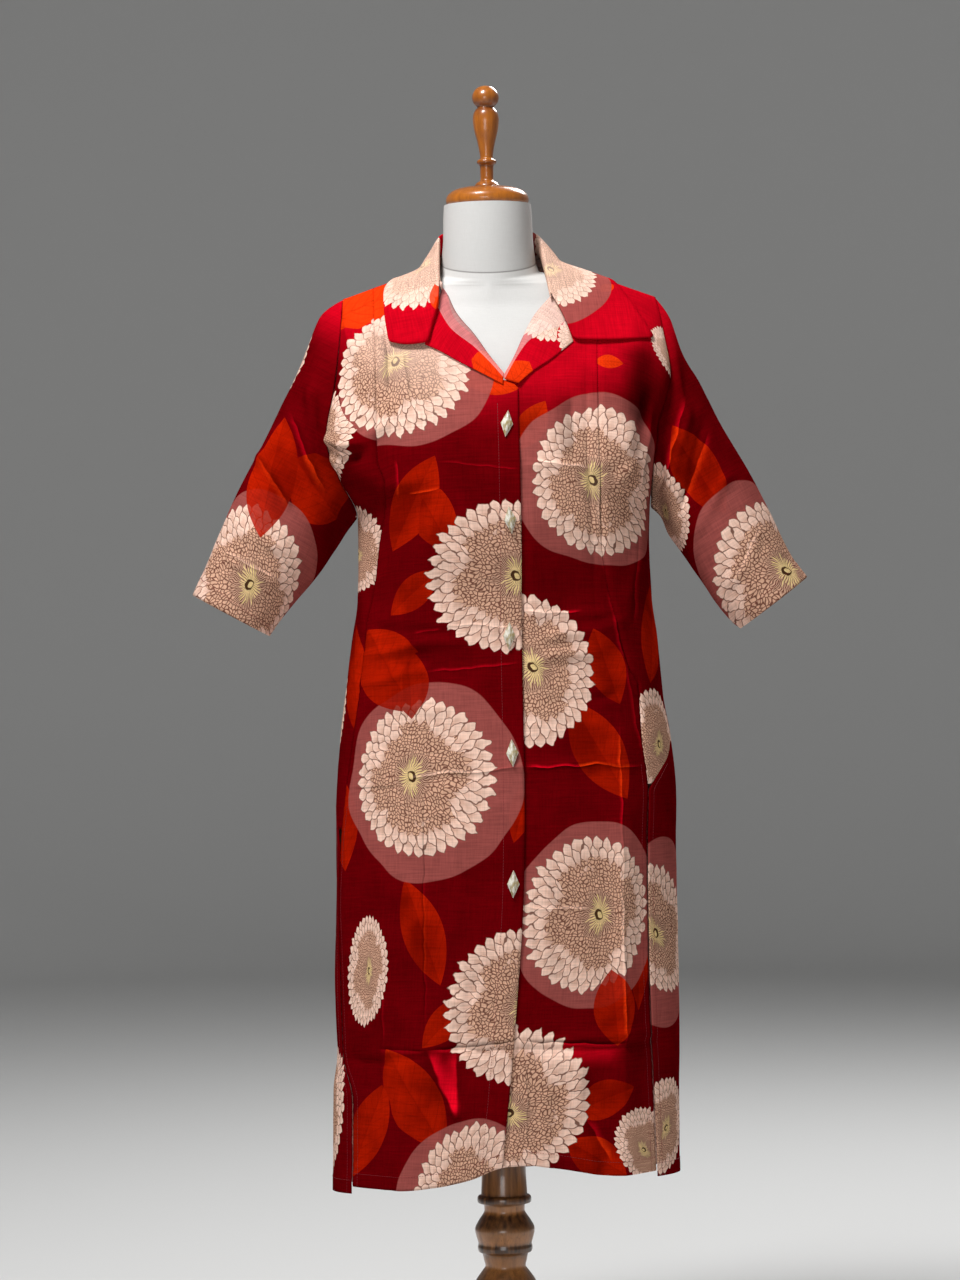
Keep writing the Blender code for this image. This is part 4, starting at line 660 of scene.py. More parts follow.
# ---------------------------------------------------------------- rows of cloth
def quarter(side, face, h):
    """Points from the centre line round to one side, at nominal height h."""
    mid_x, mid_y, mid_z, power = (read(MIDDLE_TABLE, name + face, h)
                                  for name in ("x_", "y_", "z_", "power_"))
    side_x, side_y, side_z = (read(SIDE_TABLE, name, h)
                              for name in ("x_" + side, "y_" + face, "z_" + side))
    turn = np.linspace(0.0, math.pi / 2, ROW_POINTS)
    out = np.sin(turn) ** (2 / power)
    ahead = np.clip(np.cos(turn), 0.0, 1.0) ** (2 / power)
    return np.stack((mid_x + (side_x - mid_x) * out,
                     side_y + (mid_y - side_y) * ahead,
                     mid_z + (side_z - mid_z) * out), axis=1)


def beside(line, x, z, begin, end):
    """Share of the way along a fold, distance to its left, and how far it has faded in there."""
    dx, dz = line["x1"] - line["x0"], line["z1"] - line["z0"]
    length = math.hypot(dx, dz)
    along = ((x - line["x0"]) * dx + (z - line["z0"]) * dz) / length ** 2
    across = ((x - line["x0"]) * dz - (z - line["z0"]) * dx) / length
    fade = ease(along, begin, end)
    if line["z1"] > HEM_TOP:
        fade = fade * ease(1 - along, begin, end)
    return along, across, fade


def fold_height(face, x, z):
    """How far the large folds stand out of the cloth at a place seen from that face."""
    height = np.zeros_like(x)
    for fold in FOLD_RECORDS[face]:
        _, across, fade = beside(fold, x, z, *FOLD_ENDS)
        height += fold["height"] * fade * np.exp(-(across / fold["width"]) ** 2)
    return height


def outward(points, face):
    """Unit directions out of a row, level with the floor."""
    step = np.gradient(points, axis=0)
    normal = np.stack((step[:, 1], -step[:, 0], np.zeros(len(points))), axis=1)
    if face == "back":
        normal = -normal
    return normal / np.maximum(np.linalg.norm(normal, axis=1, keepdims=True), 1e-9)


def running_length(points):
    """Length along a line of points, from its first."""
    return np.concatenate(([0.0], np.cumsum(np.linalg.norm(np.diff(points, axis=0), axis=1))))


@functools.lru_cache(maxsize=None)
def row(face, h):
    """A whole row of the front or back from the right side to the left, and its arc lengths.

    The arc length is 0 on the centre line and negative towards the wearer's right.
    """
    right = quarter("right", face, h)[::-1]
    points = np.concatenate((right[:-1], quarter("left", face, h)))
    height = fold_height(face, points[:, 0], points[:, 2])
    from_end = np.minimum(np.arange(len(points)), np.arange(len(points))[::-1])
    end_fade = np.clip(from_end / ROW_FADE, 0, 1)
    points = points + outward(points, face) * (height * end_fade)[:, None]
    arc = running_length(points)
    return points, arc - arc[len(right) - 1]


def back_row(h, past_right, past_left):
    """A row of the back that runs on round each side on to the front by the given lengths."""
    back, arc = row("back", h)
    front, front_arc = row("front", h)
    ahead_right = front[front_arc < front_arc[0] + past_right + ROW_SPARE][1:][::-1]
    ahead_left = front[front_arc > front_arc[-1] - past_left - ROW_SPARE][:-1][::-1]
    points = np.concatenate((ahead_right, back, ahead_left))
    full = running_length(points)
    full -= full[len(ahead_right)] - arc[0]
    return points, full, arc[0] - past_right, arc[-1] + past_left


def at_arc(points, arc, places):
    """Points of a row at the given arc lengths."""
    return np.stack([np.interp(places, arc, points[:, k]) for k in range(3)], axis=1)


def arc_at_x(points, arc, x):
    """The arc length at which a front row passes x."""
    return float(np.interp(x, points[:, 0], arc))


def bend_to_hem(h, hem):
    """Moves a nominal height so that the lowest row lies on the hem."""
    if h >= HEM_BLEND:
        return h
    return hem + (h - LOW) * (HEM_BLEND - hem) / (HEM_BLEND - LOW)


def between_rows(function, h):
    """What a function of the height gives, read between heights ROW_STEP apart."""
    low = math.floor(h / ROW_STEP)
    share = h / ROW_STEP - low
    below, above = (np.array(function(round((low + k) * ROW_STEP, 5))) for k in (0, 1))
    return below * (1 - share) + above * share


def steps(low, high, cell=CELL):
    """Heights from low to high about a cell apart."""
    return list(np.linspace(low, high, max(1, round((high - low) / cell)) + 1))


ROWS = (steps(LOW, YOKE_FROM) + steps(YOKE_FROM, TOP_FROM, YOKE_CELL)[1:]
        + steps(TOP_FROM, SHOULDER_H, TOP_CELL)[1:])
ARMHOLE_ROWS = steps(UNDERARM_H, 1.385, 0.005) + [1.390, 1.394, 1.397, SHOULDER_H]


# ---------------------------------------------------------------- panels
def seam_arc(side, h):
    """Arc length of the front row at h, where its princess seam or its slit edge runs."""
    points, arc = row("front", h)
    return arc_at_x(points, arc, read(PANEL_SEAM_TABLE, "x_" + side, h))


def side_past(side, h):
    """How far ahead of the side line the side seam or the back's slit edge lies."""
    arc = row("front", h)[1]
    whole = seam_arc(side, h) - arc[0] if side == "right" else arc[-1] - seam_arc(side, h)
    return whole * float(read(SLIT_TABLE, "share_" + side, h))


def front_span(side, h):
    """Arc lengths of a front panel's inner and outer edge at h."""
    inner = BAND_HALF if side == "right" else -UNDERLAP
    if h >= BREAK_H:
        neck = arc_at_x(*row("front", h), read(NECK_EDGE_TABLE, "x_" + side, h))
        inner += (neck - inner) * float(ease(h, BREAK_H, BREAK_END))
    return inner, seam_arc(side, h) - SIGN[side] * SEAM / 2


def front_panel(side, heights, columns):
    """Points and U of a front panel, row by row from hem to shoulder."""
    shares = np.linspace(0.0, 1.0, columns)
    span = functools.lru_cache(maxsize=None)(functools.partial(front_span, side))
    grid, across = [], []
    for h in heights:
        inner, outer = front_span(side, h)
        places = inner + (outer - inner) * shares
        points = at_arc(*row("front", h), places)
        if h < HEM_BLEND:
            for k, share in enumerate(shares):
                bent = bend_to_hem(h, read(HEM_TABLE, "front", points[k][0]))
                inner, outer = between_rows(span, bent)
                places[k] = inner + (outer - inner) * share
                points[k] = between_rows(
                    lambda level: at_arc(*row("front", level), [places[k]])[0], bent)
        if side == "left":
            points[:, 1] += UNDERLAP_DROP * (1 - ease(places, *UNDERLAP_RISE))
        grid.append(points)
        across.append(places)
    return np.array(grid), np.array(across)


def side_front_panel(side, heights, columns):
    """Points and U of a side front, from its tip in the slit up to the shoulder."""
    sign = SIGN[side]
    grid, across = [], []
    for h in heights:
        points, arc = row("front", h)
        inner = seam_arc(side, h) + sign * SEAM / 2
        end = arc[0] if side == "right" else arc[-1]
        outer = end - sign * (side_past(side, h) + SIDE_GAP / 2)
        outer = inner + sign * max((outer - inner) * sign, TIP_WIDTH)
        places = inner + (outer - inner) * np.linspace(0.0, 1.0, columns) ** SIDE_SPACING
        grid.append(at_arc(points, arc, places))
        across.append(places)
    return np.array(grid), np.array(across)


def back_top(x):
    """Nominal height of the back's upper edge: neckline in the middle, shoulder seams beside."""
    share = min(abs(x - BACK_MIDDLE) / BACK_NECK_HALF, 1.0)
    return SHOULDER_H - BACK_NECK_DIP * (1 - share ** BACK_NECK_POWER)


def slit_gap(side, h):
    """Width of the open slit between the back's edge and the front's."""
    return SLIT_WIDTH * float(ease(SLIT_TOP[side] - h, 0.0, SLIT_OPENS))


@functools.lru_cache(maxsize=None)
def back_line(h):
    """One row of the back between its edges: points with U as a fourth column."""
    points, arc, start, end = back_row(h, side_past("right", h), side_past("left", h))
    start += SIDE_GAP / 2 + slit_gap("right", h)
    end -= SIDE_GAP / 2 + slit_gap("left", h)
    even = np.linspace(0.0, 1.0, BACK_COLUMNS)
    closer_at_ends = 0.5 - 0.5 * np.cos(math.pi * even)
    places = start + (end - start) * (EVEN_SHARE * even + CLOSER_SHARE * closer_at_ends)
    return np.column_stack((at_arc(points, arc, places), places))


def back_bent(h, k):
    """One point of a row of the back that bends to the hem or the neckline."""
    bent = h
    for _ in range(2):
        point = between_rows(lambda level: back_line(level)[k], bent)
        if h < HEM_BLEND:
            bent = bend_to_hem(h, read(HEM_TABLE, "back", point[0]))
        else:
            rise = (h - NECK_BLEND) / (SHOULDER_H - NECK_BLEND)
            bent = NECK_BLEND + rise * (back_top(point[0]) - NECK_BLEND)
    return point


def back_panel(heights):
    """Points and U of the back, from hem to neckline and shoulder seams."""
    rows = np.array([back_line(h) if HEM_BLEND <= h <= NECK_BLEND else
                     [back_bent(h, k) for k in range(BACK_COLUMNS)] for h in heights])
    return rows[..., :3], rows[..., 3]


def armhole(side):
    """The armhole's loop, from the underarm up the front, over the shoulder and down the back."""
    end = 0 if side == "right" else -1
    front, back = ([row(face, h)[0][end] for h in ARMHOLE_ROWS] for face in ("front", "back"))
    tip = (front[-1] + back[-1]) / 2
    return np.array(front[:-1] + [tip] + back[-2:0:-1])


def sleeve(side, rings):
    """Points of a sleeve, ring by ring from the armhole to the cuff."""
    shape = SLEEVE_TABLES[side]
    root = armhole(side)
    lengths = np.linalg.norm(np.diff(root, axis=0, append=root[:1]), axis=1)
    angles = 2 * math.pi * np.concatenate(([0.0], np.cumsum(lengths)[:-1])) / lengths.sum()

    def ring(k):
        outer = np.array((read(shape, "x_out", k), 0.0, read(shape, "z_out", k)))
        under = np.array((read(shape, "x_under", k), 0.0, read(shape, "z_under", k)))
        centre, reach = (outer + under) / 2, (outer - under) / 2
        depth = np.array((0.0, read(shape, "half", k), 0.0))
        middle = np.array((0.0, read(shape, "y", k), 0.0))
        return np.array([centre + middle - reach * math.cos(a) - depth * math.sin(a)
                         for a in angles])

    def blended(k):
        return ring(k) + (root - ring(0.0)) * (1 - float(ease(k, 0.0, ROOT_RINGS)))

    away = blended(1.0) - root
    grid = [root + away * (ARMHOLE_GAP / np.linalg.norm(away, axis=1))[:, None]]
    grid += [blended(share * shape["ring"][-1]) for share in np.linspace(0.0, 1.0, rings)[1:]]
    return np.array(grid)


# ---------------------------------------------------------------- collar and lapels
def ring_faces(rings, count):
    """Quads between closed rings of points, each with the given count."""
    return [(j * count + i, j * count + (i + 1) % count,
             (j + 1) * count + (i + 1) % count, (j + 1) * count + i)
            for j in range(rings - 1) for i in range(count)]


def torso_tree():
    """The closed outer surface of the cloth body, without neckline or slits, for seating."""
    rings = []
    for h in np.linspace(TREE_FROM, SHOULDER_H, TREE_RINGS):
        front, back = (row(face, h)[0][::TREE_STEP] for face in ("front", "back"))
        rings.append(np.concatenate((front, back[::-1])))
    return BVHTree.FromPolygons([Vector(p) for ring in rings for p in ring],
                                ring_faces(len(rings), len(rings[0])))


def front_depth(x, z):
    """y of the cloth's front at a place seen from the front."""
    hit = TORSO.ray_cast(Vector((x, -0.5, z)), Vector((0.0, 1.0, 0.0)))[0]
    return hit.y if hit else 0.0


def settle(point, lift, bridging=False):
    """A point moved to a height over the cloth body, or only raised to it when bridging."""
    place, normal, _, _ = TORSO.find_nearest(Vector(point))
    inside = Vector((0.01, 0.0, place.z - 0.05))
    if normal.dot(place - inside) < 0:
        normal = -normal
    if bridging:
        lift = max(lift, (Vector(point) - place).dot(normal))
    return np.array(place + normal * lift)


def lapel(side, rounds, columns):
    """Points of a turned-out facing: inner strip, roll and the part that lies on the front."""
    shape = LAPEL_TABLES[side]
    grid = []
    for t in np.linspace(0.0, 1.0, rounds):
        inner, roll, outer = (np.array((read(shape, "x_" + name, t), read(shape, "z_" + name, t)))
                              for name in ("in", "roll", "out"))
        line = []
        for w in np.linspace(-0.5, 1.0, columns):
            if w < 0:
                x, z = roll + (inner - roll) * -2 * w
                lift = LAPEL_LIFT - LAPEL_TUCK * (-2 * w) ** TUCK_POWER * float(ease(t, 0.0, 0.4))
            else:
                x, z = roll + (outer - roll) * w
                lift = LAPEL_LIFT + LAPEL_BULGE * math.sin(math.pi * w) * t
            line.append((x, front_depth(x, z) - lift, z))
        grid.append(line)
    return np.array(grid)


def gorge(side, w):
    """A point of the leaf's front end, over the lapel and the front."""
    x, z = read(GORGE_TABLE, "x_" + side, w), read(GORGE_TABLE, "z_" + side, w)
    return np.array((x, front_depth(x, z) - GORGE_LIFT - GORGE_BULGE * math.sin(math.pi * w), z))


def collar_half(side, stations, leaf_columns):
    """Points of half the collar: stand, fold and leaf, from the gorge to the back."""
    shape = COLLAR_TABLES[side]
    first, last = gorge(side, 0.0), gorge(side, 1.0)
    grid = []
    for t in np.linspace(0.0, 1.0, stations):
        fold, edge = (np.array([read(shape, axis + name, t) for axis in ("x_", "y_", "z_")])
                      for name in ("fold", "leaf"))
        top = fold if t > 0 else first
        away = (top - np.array((NECK_AXIS, 0.0, 0.0))) * np.array((1.0, 1.0, 0.0))
        if t < COLLAR_FRONT:
            away = np.array((SIGN[side], 0.0, 0.0))
        away = away / np.linalg.norm(away)
        stand = read(shape, "stand", t)
        line = [top - away * inwards - np.array((0.0, 0.0, down))
                for inwards, down in zip(STAND_INSETS, (stand, stand / 2, STAND_TOP))]
        line.append(top)
        lift = LEAF_LIFT + (GORGE_LIFT - LEAF_LIFT) * (1 - t) ** 4
        rim = settle(edge, lift)
        for w in np.linspace(0.0, 1.0, leaf_columns)[1:]:
            bow = away * LEAF_BULGE * 4 * w * (1 - w) * float(ease(t, *LEAF_BULGE_FADE))
            front = gorge(side, w) - (first * (1 - w) + last * w)
            guess = top * (1 - w) + rim * w + bow + front * (1 - t) ** 2
            seated = settle(guess, lift, bridging=True)
            share = float(ease(w, 0.0, LEAF_SEATED))
            line.append(guess * (1 - share) + seated * share)
        grid.append(line)
    return np.array(grid)


# ---------------------------------------------------------------- fine relief
def crease_height(points, normals):
    """How far the creases stand out at each point."""
    x, z = points[..., 0], points[..., 2]
    total = np.zeros(x.shape)
    for face, toward in (("front", -1), ("back", 1)):
        facing = ease(normals[..., 1] * toward, 0.0, CREASE_FACING)
        for crease in CREASE_RECORDS[face]:
            along, across, fade = beside(crease, x, z, *CREASE_ENDS)
            inside = np.clip(along, 0.0, 1.0)
            across = across - crease["bow"] * 4 * inside * (1 - inside)
            wander = np.sin(WANDER_WAVE * along + WANDER_START * crease["x0"])
            across = across - CREASE_WANDER * crease["width"] * wander
            uneven = 1 + CREASE_UNEVEN * np.sin(UNEVEN_WAVE * along
                                                + UNEVEN_START * crease["z0"])
            profile = np.exp(-(np.abs(across) / crease["width"]) ** crease["sharp"])
            total += CREASE_DEPTH * crease["height"] * uneven * fade * profile * facing
    return total


def crumple_height(points):
    """Soft unevenness of the cloth all over."""
    flat = points.reshape(-1, 3)
    total = np.zeros(len(flat))
    for step, (wave_x, wave_y, wave_z, height) in enumerate(CRUMPLES):
        scaled = flat * np.array((wave_x, wave_y, wave_z)) + step * CRUMPLE_SHIFT
        total += height * np.array([noise.noise(Vector(p)) for p in scaled.tolist()])
    return total.reshape(points.shape[:-1])


def relief(grid, normals):
    return crease_height(grid, normals) + crumple_height(grid)


def pucker(length_along, across_from_seam):
    """Small ripples that run square to a sewn seam and die out beside it."""
    drift = PUCKER_DRIFT * np.sin(length_along * PUCKER_DRIFT_WAVE)
    wave = np.sin(length_along * 2 * math.pi / PUCKER_WAVE + drift)
    return PUCKER * wave * np.exp(-(across_from_seam / PUCKER_REACH) ** 2)


def turned_edge(from_edge, layers):
    """The extra thickness of a hem or cuff."""
    return layers * (1 - ease(from_edge, HEM_DEPTH - HEM_EDGE, HEM_DEPTH + HEM_EDGE))


def grid_normals(grid, closed=False):
    """Unit normals of a grid of points, out of the cloth's right side."""
    along = np.gradient(grid, axis=0)
    if closed:
        across = (np.roll(grid, -1, axis=1) - np.roll(grid, 1, axis=1)) / 2
    else:
        across = np.gradient(grid, axis=1)
    normal = np.cross(along, across)
    return normal / np.maximum(np.linalg.norm(normal, axis=-1, keepdims=True), 1e-12)


# ---------------------------------------------------------------- cloth pieces
Panel = collections.namedtuple("Panel", "grid normals across up")


def add_object(name, data):
    made = bpy.data.objects.new(name, data)
    bpy.context.scene.collection.objects.link(made)
    return made


def add_mesh(name, vertices, faces, materials, smooth=True):
    mesh = bpy.data.meshes.new(name)
    mesh.from_pydata([tuple(v) for v in vertices], [], faces)
    for finish in materials:
        mesh.materials.append(finish)
    if smooth:
        mesh.shade_smooth()
    made = add_object(name, mesh)
    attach(made, "root")
    return made


def add_cloth(node, grid, across, up, wall=WALL, closed=False, flip=False, turned=0):
    """A thin shell through the grid, with its U and V as a UV map.

    The grid is its right side, apart from the first columns where the cloth is turned.
    """
    rows, columns = grid.shape[:2]
    wide = columns + 1 if closed else columns
    faces, places, sides = [], [], []
    for j in range(rows - 1):
        for i in range(wide - 1):
            sides.append(1 if i < turned else 0)
            corners = ((j, i), (j, i + 1), (j + 1, i + 1), (j + 1, i))
            if flip:
                corners = corners[::-1]
            faces.append([b * columns + a % columns for b, a in corners])
            places += [b * wide + a for b, a in corners]
    made = add_mesh("cloth_" + node, grid.reshape(-1, 3), faces,
                    [cloth_material("print_", node, 0.0),
                     cloth_material("reverse_", node, REVERSE_PALE)])
    layer = made.data.uv_layers.new(name="cloth")
    flat = np.stack((across.reshape(-1), up.reshape(-1)), axis=1)[places]
    layer.data.foreach_set("uv", flat.astype(np.float32).reshape(-1))
    made.data.polygons.foreach_set("material_index", sides)
    shell = made.modifiers.new("wall", "SOLIDIFY")
    shell.thickness = wall
    shell.offset = -1.0
    shell.material_offset = 1
    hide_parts(node)
    return made


def height_along(grid):
    """V of each point: its height, or the length up the cloth where that is more."""
    step = np.diff(grid, axis=0)
    length = np.sqrt(step[..., 1] ** 2 + step[..., 2] ** 2)
    return np.concatenate((grid[:1, :, 2], grid[0, :, 2] + np.cumsum(length, axis=0)))


def raised(node, grid, across, up, normals, lift, **how):
    """Adds a piece of cloth with its relief, and returns it as a panel."""
    grid = grid + normals * lift[..., None]
    add_cloth(node, grid, across, up, **how)
    return Panel(grid, normals, across[:, :grid.shape[1]], up)


def princess_seam(up, from_seam):
    return pucker(up, from_seam) - SEAM_DENT * np.exp(-from_seam / SEAM_REACH)


def build_front(side):
    """A front: the band with its extra layers, the turned hem and the princess seam."""
    grid, across = front_panel(side, ROWS, FRONT_COLUMNS)
    up = height_along(grid)
    normals = -grid_normals(grid) * SIGN[side]
    lift = relief(grid, normals) + princess_seam(up, np.abs(across - across[:, -1:]))
    lift += turned_edge(up - up[:1], HEM_LAYERS)
    if side == "right":
        lift += BAND_LAYERS * ease(across, BAND_STITCH - BAND_LAYERS, BAND_STITCH + BAND_LAYERS)
        lift -= STITCH_DENT * np.exp(-((across - BAND_STITCH) / STITCH_REACH) ** 2)
    else:
        lift *= ease(across, *UNDERLAP_SMOOTH)
    return raised("front_" + side, grid, across, up, normals, lift, flip=side == "right")


def build_side_front(side):
    heights = [h for h in ROWS if h >= SIDE_TIP[side]]
    grid, across = side_front_panel(side, heights, SIDE_COLUMNS)
    up = height_along(grid)
    normals = -grid_normals(grid) * SIGN[side]
    lift = relief(grid, normals) + princess_seam(up + PUCKER_SHIFT, np.abs(across - across[:, :1]))
    raised("side_front_" + side, grid, across, up, normals, lift, flip=side == "right")


def build_back():
    grid, across = back_panel(ROWS)
    up = height_along(grid)
    normals = grid_normals(grid)
    lift = relief(grid, normals) + turned_edge(up - up[:1], HEM_LAYERS)
    return raised("back", grid, across, up, normals, lift, flip=True)


def lengths_along(grid, axis):
    """Running length of a grid along one of its axes, from its first row or column."""
    run = np.cumsum(np.linalg.norm(np.diff(grid, axis=axis), axis=2), axis=axis)
    pad = [(0, 0), (0, 0)]
    pad[axis] = (1, 0)
    return np.pad(run, pad)


def unrolled(grid):
    """U round a tube from its outer line and V up it from its last ring, as if opened flat."""
    foot, head = grid[-1].mean(axis=0), grid[len(grid) // 2].mean(axis=0)
    axis = (head - foot) / np.linalg.norm(head - foot)
    closed = np.concatenate((grid, grid[:, :1]), axis=1)
    up = (closed - foot) @ axis
    around = lengths_along(closed - up[..., None] * axis, 1)
    return around - around[:, -1:] / 2, up


def build_sleeve(side):
    grid = sleeve(side, SLEEVE_RINGS)
    across, up = unrolled(grid)
    from_root = lengths_along(grid, 0).mean(axis=1)[:, None]
    to_cuff = from_root[-1] - from_root
    normals = grid_normals(grid, closed=True) * SIGN[side]
    lift = relief(grid, normals) * ease(from_root, 0.0, ROOT_FADE)
    lift += turned_edge(to_cuff, CUFF_LAYERS)
    lift += pucker(across[:, :-1], from_root) - ROOT_DENT * np.exp(-from_root / ROOT_REACH)
    made = raised("sleeve_" + side, grid, across, up, normals, lift, closed=True,
                  flip=side == "left")
    return made._replace(up=to_cuff + 0.0 * made.across)


def collar_places(grid, fold=len(STAND_INSETS)):
    """U along the collar's fold line and V square to it, as the collar is cut."""
    line = grid[:, fold]
    last = len(line) - 1
    along = lengths_along(line[:, None], 0)[:, 0]
    along -= along[len(line) // 2]
    number = np.arange(len(line))
    way = line[np.minimum(number + 3, last)] - line[np.maximum(number - 3, 0)]
    way[:4], way[-4:] = way[4], way[-5]
    way /= np.linalg.norm(way, axis=1, keepdims=True)
    out = grid - line[:, None]
    shift = (out * way[:, None]).sum(axis=2)
    down = np.sqrt(np.maximum((out ** 2).sum(axis=2) - shift ** 2, 0.0))
    down[:, :fold] *= -1
    return along[:, None] + shift, -down


def build_collar():
    """The folded collar, two layers of cloth thick."""
    right, left = (collar_half(side, COLLAR_STATIONS, LEAF_STEPS) for side in SIDES)
    grid = np.concatenate((right, left[::-1][1:]))
    across, up = collar_places(grid)
    grid = grid - grid_normals(grid) * crumple_height(grid)[..., None] * COLLAR_CRUMPLE
    made = add_cloth("collar", grid, across, up, wall=COLLAR_WALL, flip=True)
    soft = made.modifiers.new("soft", "SUBSURF")
    soft.levels = soft.render_levels = 1
    made.modifiers.move(1, 0)


def build_lapel(side):
    grid = lapel(side, LAPEL_ROUNDS, LAPEL_COLUMNS)
    add_cloth("lapel_" + side, grid, lengths_along(grid, 1), lengths_along(grid, 0),
              flip=side == "right", turned=LAPEL_TURNED)


# ---------------------------------------------------------------- shader nodes
class Value:
    """An output of a shader node. Arithmetic on it adds the nodes that do it."""

    def __init__(self, make, socket):
        self.make, self.socket = make, socket

    def __abs__(self):
        return self.make.math("ABSOLUTE", self)


def add_operator(method, operation):
    setattr(Value, "__%s__" % method, lambda a, b: a.make.math(operation, a, b))
    setattr(Value, "__r%s__" % method, lambda a, b: a.make.math(operation, b, a))


for method, operation in (("add", "ADD"), ("sub", "SUBTRACT"), ("mul", "MULTIPLY"),
                          ("truediv", "DIVIDE"), ("mod", "MODULO")):
    add_operator(method, operation)


class Maker:
    """Short calls that add shader nodes to a tree and link what they are given."""

    def __init__(self, tree):
        self.tree = tree

    def node(self, kind, **settings):
        made = self.tree.nodes.new(kind)
        for name, value in settings.items():
            setattr(made, name, value)
        return made

    def feed(self, socket, value):
        if isinstance(value, Value):
            self.tree.links.new(value.socket, socket)
        else:
            socket.default_value = value

    def out(self, kind, which, inputs=(), **settings):
        """An output of a new node, with its inputs fed by name or number unless None is given."""
        made = self.node(kind, **settings)
        for socket, value in dict(inputs).items():
            if value is not None:
                self.feed(made.inputs[socket], value)
        return Value(self, made.outputs[which])

    def math(self, operation, *values, clamp=False):
        return self.out("ShaderNodeMath", 0, enumerate(values), operation=operation,
                        use_clamp=clamp)

    def vector(self, operation, first, second=None, scale=None):
        which = "Value" if operation == "LENGTH" else "Vector"
        inputs = {0: first, 1: second, "Scale": scale}
        return self.out("ShaderNodeVectorMath", which, inputs, operation=operation)

    def parts(self, vector):
        """The three numbers of a vector."""
        made = self.node("ShaderNodeSeparateXYZ")
        self.feed(made.inputs[0], vector)
        return [Value(self, socket) for socket in made.outputs]

    def mix(self, factor, first, second, kind="RGBA"):
        a, b, which = {"FLOAT": (2, 3, 0), "VECTOR": (4, 5, 1), "RGBA": (6, 7, 2)}[kind]
        if kind == "RGBA":
            first, second = (value if isinstance(value, Value) else (*value, 1.0)
                             for value in (first, second))
        return self.out("ShaderNodeMix", which, {0: factor, a: first, b: second}, data_type=kind)

    def step(self, value, low, high):
        """0 below low, 1 above high, smooth between."""
        inputs = enumerate((value, low, high, 0.0, 1.0))
        return self.out("ShaderNodeMapRange", 0, inputs, interpolation_type="SMOOTHSTEP")

    def noise(self, place, scale, detail, colour=False):
        inputs = {"Vector": place, "Scale": scale, "Detail": detail}
        return self.out("ShaderNodeTexNoise", "Color" if colour else "Fac", inputs)

    def streaks(self, place, scale, detail):
        """Noise stretched by a scale of its own along each axis."""
        return self.noise(self.vector("MULTIPLY", place, scale), 1.0, detail)

    def fitted(self, place, centre, turn, size):
        """A place in the frame of a motif, 1 at its edges."""
        inputs = {"Vector": place, "Location": (*centre, 0.0), "Rotation": (0.0, 0.0, turn),
                  "Scale": (*size, 1.0)}
        return self.out("ShaderNodeMapping", 0, inputs, vector_type="TEXTURE")

    def object_place(self):
        return self.out("ShaderNodeTexCoord", "Object")


class Finish(Maker):
    """A new Principled material whose nodes can be added to."""

    def __init__(self, title, colour, roughness, specular, coat=0.0):
        self.material = bpy.data.materials.new(title)
        self.material.use_nodes = True
        super().__init__(self.material.node_tree)
        self.shader = self.tree.nodes["Principled BSDF"]
        self.set("Base Color", (*colour, 1.0))
        self.set("Roughness", roughness)
        self.set("Specular IOR Level", specular)
        self.set("Coat Weight", coat)
        self.set("Coat Roughness", 0.08)

    def set(self, name, value):
        self.feed(self.shader.inputs[name], value)

    def bump(self, height, strength, distance):
        inputs = {"Height": height, "Strength": strength, "Distance": distance}
        self.set("Normal", self.out("ShaderNodeBump", 0, inputs))


# ---------------------------------------------------------------- prints and painted light
def nearest_motif(make, place, motifs, own=True):
    """Local coordinates of the motif that a place belongs to; later ones lie over earlier."""
    local, best = (9.0, 9.0, 0.0), 99.0
    for motif in motifs:
        fitted = make.fitted(place, (motif["u"], motif["v"]), math.radians(motif["turn"]),
                             (motif["wide"], motif["tall"]))
        reach = make.vector("LENGTH", fitted)
        take = make.math("LESS_THAN", reach, best)
        if own:
            take = make.math("MAXIMUM", take, make.math("LESS_THAN", reach, 1.0))
        local = make.mix(take, local, fitted, "VECTOR")
        best = make.mix(take, best, reach, "FLOAT")
    return local, best


def scale_drawing(make, around, reach):
    """Rings of scales, each one's tips over the ring outside it: colour and ring number."""
    ring = reach / SCALE_ROW
    inner = make.math("FLOOR", ring) - 1.0

    def arch(row):
        """Tip height of the scales of a row, and the place across one of them from -1 to 1."""
        inside = make.math("FRACT", around + (row % 2.0) * 0.5 + 100.0)
        across = inside * 2.0 - 1.0
        return row + 1.0 + make.math("POWER", 1.0 - abs(across), ARCH_POWER) * ARCH, across

    tip, across = arch(inner)
    under = make.math("LESS_THAN", ring, tip)
    outer_tip, outer_across = arch(inner + 1.0)
    from_tip = make.mix(under, outer_tip, tip, "FLOAT") - ring
    side = (1.0 - abs(make.mix(under, outer_across, across, "FLOAT"))) * 0.5
    edge = make.math("MINIMUM", make.math("MINIMUM", from_tip, abs(ring - tip)), side)
    colour = make.mix(make.step(from_tip, *PETAL_SHADE), TONES["petal"], TONES["petal_base"])
    line = 1.0 - make.step(edge, *PETAL_LINE)
    return make.mix(line * PETAL_INK, colour, TONES["outline"]), inner + (1.0 - under)


def pebble_drawing(make, local):
    inputs = {"Vector": local, "Scale": PEBBLES, "Randomness": PEBBLE_ORDER}
    from_edge = make.out("ShaderNodeTexVoronoi", "Distance", inputs, voronoi_dimensions="2D",
                         feature="DISTANCE_TO_EDGE")
    return make.mix(make.step(from_edge, *PEBBLE_LINE), TONES["pebble_line"], TONES["pebble"])


